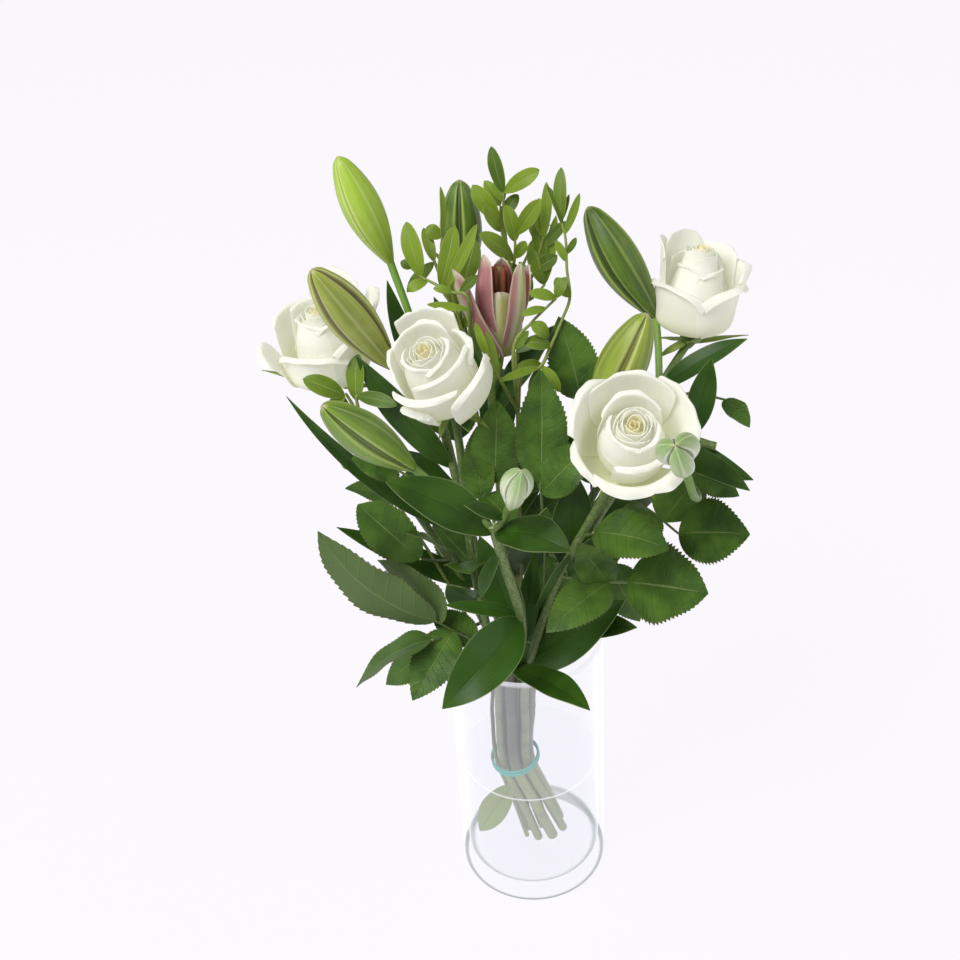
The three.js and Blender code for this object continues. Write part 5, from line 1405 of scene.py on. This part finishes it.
def make_bud(name, base, tip, width, bend, turn, kind, valley, depth, flush, finishes):
    """A closed bud of three lobes, bent sideways by bend, with a valley at turn degrees."""
    small = kind == "small_bud"
    rng = random.Random(f"{SEED} {name}")
    start, end = Vector(base), Vector(tip)
    side = (end - start).cross(Vector((0, 0, 1))).normalized()
    middle = (start + end) / 2 + side * bend
    route = Route([base, middle, tip])
    wide = valley + SMALL_GROOVE if small else valley

    def radius(s, angle):
        swell = math.sin(math.pi * (0.07 + 0.88 * s) ** 1.12) ** 0.8
        swell *= math.sqrt(max(1 - (max(s - BUD_TIP, 0) / (1.002 - BUD_TIP)) ** 2, 0))
        third = ((math.degrees(angle) - turn) / 120 + 0.5) % 1 - 0.5
        off = abs(third) * 120
        shape = -depth * hump(off, 0, wide + 2) + 0.02 * hump(off, valley + 6, 5)
        shape += 0.04 * hump(off, 0, 3) + 0.015 * hump(off, 60, 7)
        return 0.5 * width * swell * (1 + shape * smooth(0.02, 0.25, s) * (1 + smooth(0.8, 1, s)))

    piece = Piece(name + "_lobes")
    piece.tube(route, radius, sides=96, per_span=40, tone=(rng.random(), flush))
    turn_share = turn / 360
    length = route.length / 100
    for face in piece.bm.faces:
        for loop in face.loops:
            u, v = loop[piece.grain].uv
            loop[piece.grain].uv = (u - turn_share, v / length)
    piece.finish(finishes[kind], "pale_bud" if small else "bud_green", name)


# Radius and height of the foot that the tepals grow from.
LILY_FOOT = [(0, 0), (3, 0.5), (5.4, 2.6), (6.5, 5), (6.2, 8), (5, 11), (0, 12)]


def make_opening_lily(base, axis, tepals, stamens, finishes):
    rng = random.Random(f"{SEED} opening lily")
    piece = Piece("opening_lily_tepals")
    piece.turned_shape(LILY_FOOT, sides=24)
    for tepal in tepals:
        add_tepal(piece, rng, *tepal)
    piece.move(standing(base, axis))
    piece.finish(finishes["tepal"], "lily_petal", "lily_opening_tepals")
    inner = Piece("opening_lily_stamens")
    add_stamens(inner, **stamens)
    inner.move(standing(base, axis))
    inner.finish(finishes["stamen"], "stamen", "lily_opening_stamens")


def add_tepal(piece, rng, turn, lean, length, width, curl, start, band):
    """A hollow, ribbed tepal that leans out from start, with a rounded tip that curls."""
    lean = math.radians(lean)
    turn = math.radians(turn)
    phase = rng.uniform(0, 6.28)

    def place(a, v):
        u = 2 * a - 1
        half = 0.5 * width * math.sin(math.pi * (0.1 + 0.83 * v)) ** 0.6
        half *= math.sqrt(max(1 - (max(v - 0.9, 0) / 0.104) ** 2, 0.02))
        bow = math.sin(math.pi * v * 0.9) * length * 0.11
        radius = start + bow + v * length * math.sin(lean) + curl * v**4
        radius -= abs(u) ** 1.5 * half * 0.42
        radius += 0.5 * math.sin(9 * v + phase) * u * u + 0.5 * hump(u, 0, 0.12)
        point = Vector((radius, half * u, v * length * math.cos(lean)))
        point.rotate(Matrix.Rotation(turn, 3, "Z"))
        return point

    piece.sheet(place, TEPAL_THICKNESS, columns=16, rows=32, tone=(rng.random(), band))


def add_stamens(piece, count, foot, spread, height):
    """The style and the ring of stamens: slim stalks that thicken into long anthers."""
    style = Route([(0, 0, foot), (0, 0.2, foot + height)])
    piece.tube(
        style, lambda s, a: lerp(2, 1.1, s) + 0.7 * smooth(0.9, 1, s), sides=12, per_span=12,
        tone=(0.5, 0),
    )
    for i in range(count):
        angle = 2 * math.pi * i / count
        x, y = spread * math.cos(angle), spread * math.sin(angle)
        points = [
            (x * 0.2, y * 0.2, foot + 1),
            (x, y, foot + height * 0.5),
            (x * 1.1, y * 1.1, foot + height),
        ]

        def radius(s, angle):
            anther = smooth(0.4, 0.46, s) * smooth(1.04, 0.93, s) if s > 0.4 else 0
            return 0.6 + anther * (0.8 + 0.2 * math.cos(2 * angle))

        piece.tube(
            Route(points), radius, sides=12, per_span=16,
            tone=lambda u, v: (0.5, smooth(0.38, 0.45, v)),
        )


# ------------------------------------------------------------------ vase, water and band


def make_vase(finishes):
    inner = VASE_RADIUS - VASE_WALL
    piece = Piece("vase_glass")
    piece.turned_shape(rounded([
        (0, 0, 0), (inner, 0, 0), (VASE_RADIUS, 0, FOOT_ROUND), (VASE_RADIUS, 5, 0),
        (VASE_RADIUS, VASE_HEIGHT - 3, 0), (VASE_RADIUS, VASE_HEIGHT, LIP_ROUND),
        (inner, VASE_HEIGHT, LIP_ROUND), (inner, VASE_HEIGHT - 3, 0), (inner, VASE_FLOOR + 9, 0),
        (inner, VASE_FLOOR, INSIDE_ROUND), (inner - 9, VASE_FLOOR, 0), (0, VASE_FLOOR, 0),
    ]), VASE_SIDES)
    # Marks for painted light on the glass: a painted highlight at the lip, and painted grey refraction
    # shade at the foot and the inside corner.
    for vert in piece.bm.verts:
        out = vert.co.xy.length
        foot = hump(vert.co.z, 1, 2.4) * smooth(inner, VASE_RADIUS - 2, out)
        corner = hump(vert.co.z, VASE_FLOOR + 1.5, 2.6) * hump(out, inner - 2, 3.2)
        lip = smooth(VASE_HEIGHT - 2.2, VASE_HEIGHT, vert.co.z)
        vert[piece.tone] = (lip, min(foot + corner, 1), 0)
    piece.finish(finishes["glass"], "glass", "vase")


def make_water(finishes):
    outer = VASE_RADIUS - VASE_WALL + WATER_OVERLAP
    low = VASE_FLOOR - WATER_OVERLAP
    profile = rounded([
        (0, low, 0), (outer, low, INSIDE_ROUND), (outer, WATER_LEVEL, 0),
        (outer, WATER_LEVEL + MENISCUS, 0),
    ])
    for step in range(1, 7):
        away = step * 0.6
        profile.append((outer - away, WATER_LEVEL + MENISCUS * math.exp(-away / 0.9)))
    profile.append((0, WATER_LEVEL))
    piece = Piece("vase_water")
    piece.turned_shape(profile, VASE_SIDES)
    for vert in piece.bm.verts:
        # A painted highlight along the meniscus, where the water climbs the glass.
        meniscus_highlight = smooth(WATER_LEVEL + 0.1, WATER_LEVEL + 0.7, vert.co.z)
        vert[piece.tone] = (0, meniscus_highlight, 0)
    piece.finish(finishes["water"], "water", "water")


STRAND_SIDES = 16
BAND_STEPS = 96
# The band's turns round the bunch: how far up, and a little extra tilt about X and Y.
STRANDS = ((-1.5, 0, 0), (0.1, 2.5, -1.5), (1.6, -1, 1))


def make_band(finishes):
    piece = Piece("rubber_band_turns")
    for rise, about_x, about_y in STRANDS:
        made = bmesh.ops.create_circle(
            piece.bm, cap_ends=False, segments=STRAND_SIDES, radius=STRAND_RADIUS,
        )
        for vert in made["verts"]:
            vert.co = (BAND_RADIUS + vert.co.x, 0, vert.co.y)
        edges = dict.fromkeys(edge for vert in made["verts"] for edge in vert.link_edges)
        known = set(piece.bm.verts) - set(made["verts"])
        piece.spin(made["verts"] + list(edges), BAND_STEPS)
        fresh = [vert for vert in piece.bm.verts if vert not in known]
        tilt = turned(BAND_TILT[1] + about_y, "Y") @ turned(BAND_TILT[0] + about_x, "X")
        place = Matrix.Translation(BAND_CENTRE) @ tilt @ Matrix.Translation((0, 0, rise))
        bmesh.ops.transform(piece.bm, matrix=place, verts=fresh)
    piece.finish(finishes["rubber"], "rubber", "rubber_band")


# ------------------------------------------------------------------ the stage


def add_area_light(name, place, aim, size, power):
    data = bpy.data.lights.new(name, "AREA")
    data.shape = "DISK"
    data.size = size
    data.energy = power
    light = bpy.data.objects.new(name, data)
    bpy.context.scene.collection.objects.link(light)
    way = Vector(aim) - Vector(place)
    light.matrix_world = Matrix.Translation(place) @ way.to_track_quat("-Z", "Y").to_matrix().to_4x4()


def set_world():
    world = bpy.data.worlds.new("studio")
    world.use_nodes = True
    background = world.node_tree.nodes["Background"]
    background.inputs["Color"].default_value = (0.98, 0.98, 1, 1)
    background.inputs["Strength"].default_value = WORLD_LIGHT
    bpy.context.scene.world = world
    bpy.context.scene.view_settings.view_transform = "Standard"


def add_floor(material):
    bm = bmesh.new()
    place = Matrix.Translation((0, 0, -FLOOR_DROP))
    bmesh.ops.create_grid(bm, x_segments=2, y_segments=2, size=FLOOR_SIZE, matrix=place)
    mesh = bpy.data.meshes.new("floor")
    bm.to_mesh(mesh)
    bm.free()
    mesh.materials.append(material)
    floor = bpy.data.objects.new("floor", mesh)
    bpy.context.scene.collection.objects.link(floor)


def make_finishes():
    return {
        "glass": glass_finish(),
        "water": water_finish(),
        "rubber": rubber_finish(),
        "lily_stem": stem_finish(
            "lily_stem", rgb(66, 92, 44), rgb(128, 146, 84), rgb(186, 192, 140),
            rgb(118, 164, 44), 5),
        "lily_leaf": lily_leaf_finish(),
        "rose_stem": stem_finish(
            "rose_stem", rgb(62, 86, 40), rgb(112, 132, 66), rgb(186, 190, 134),
            rgb(104, 138, 50), 4),
        "rose_leaf": rose_leaf_finish(),
        "rose_petal": rose_petal_finish(),
        "branch": stem_finish(
            "pistache_stem", rgb(96, 108, 52), rgb(152, 164, 88), rgb(196, 196, 140),
            rgb(130, 146, 58), 3),
        "pistache_leaf": pistache_leaf_finish(),
        "bud": bud_finish(
            "lily_bud", rgb(122, 154, 44), rgb(60, 88, 20), rgb(190, 206, 124), rgb(96, 76, 40), 9),
        "deep_bud": bud_finish(
            "lily_bud_deep", rgb(92, 122, 30), rgb(40, 60, 12), rgb(176, 196, 104),
            rgb(70, 60, 30), 9),
        "young_bud": bud_finish(
            "lily_bud_young", rgb(164, 194, 62), rgb(132, 166, 36), rgb(206, 218, 136),
            rgb(116, 136, 50), 2),
        "olive_bud": bud_finish(
            "lily_bud_olive", rgb(156, 168, 70), rgb(104, 120, 36), rgb(206, 208, 150),
            rgb(84, 66, 34), 12),
        "yellow_bud": bud_finish(
            "lily_bud_yellow", rgb(146, 164, 56), rgb(96, 116, 30), rgb(200, 204, 134),
            rgb(96, 76, 40), 7),
        "small_bud": bud_finish(
            "lily_bud_small", rgb(214, 222, 192), rgb(118, 154, 62), rgb(236, 240, 226),
            rgb(92, 84, 58), 7, (0.45, 1)),
        "tepal": tepal_finish(),
        "stamen": stamen_finish(),
    }


def main():
    add_camera()
    set_world()
    for name, light in LIGHTS.items():
        add_area_light(name, *light)
    add_floor(floor_finish())
    finishes = make_finishes()
    make_vase(finishes)
    make_water(finishes)
    make_band(finishes)
    for name, lily in LILY_STEMS.items():
        make_lily(name, finishes=finishes, **lily)
    for name, rose in ROSE_STEMS.items():
        make_rose(name, finishes=finishes, **rose)
        make_bloom(name.replace("stem", "bloom"), finishes=finishes, **rose["bloom"])
    for name, branch in BRANCHES.items():
        make_branch(name, finishes=finishes, **branch)
    for name, bud in BUDS.items():
        make_bud(name, *bud, finishes)
    make_opening_lily(finishes=finishes, **OPEN_LILY)


main()
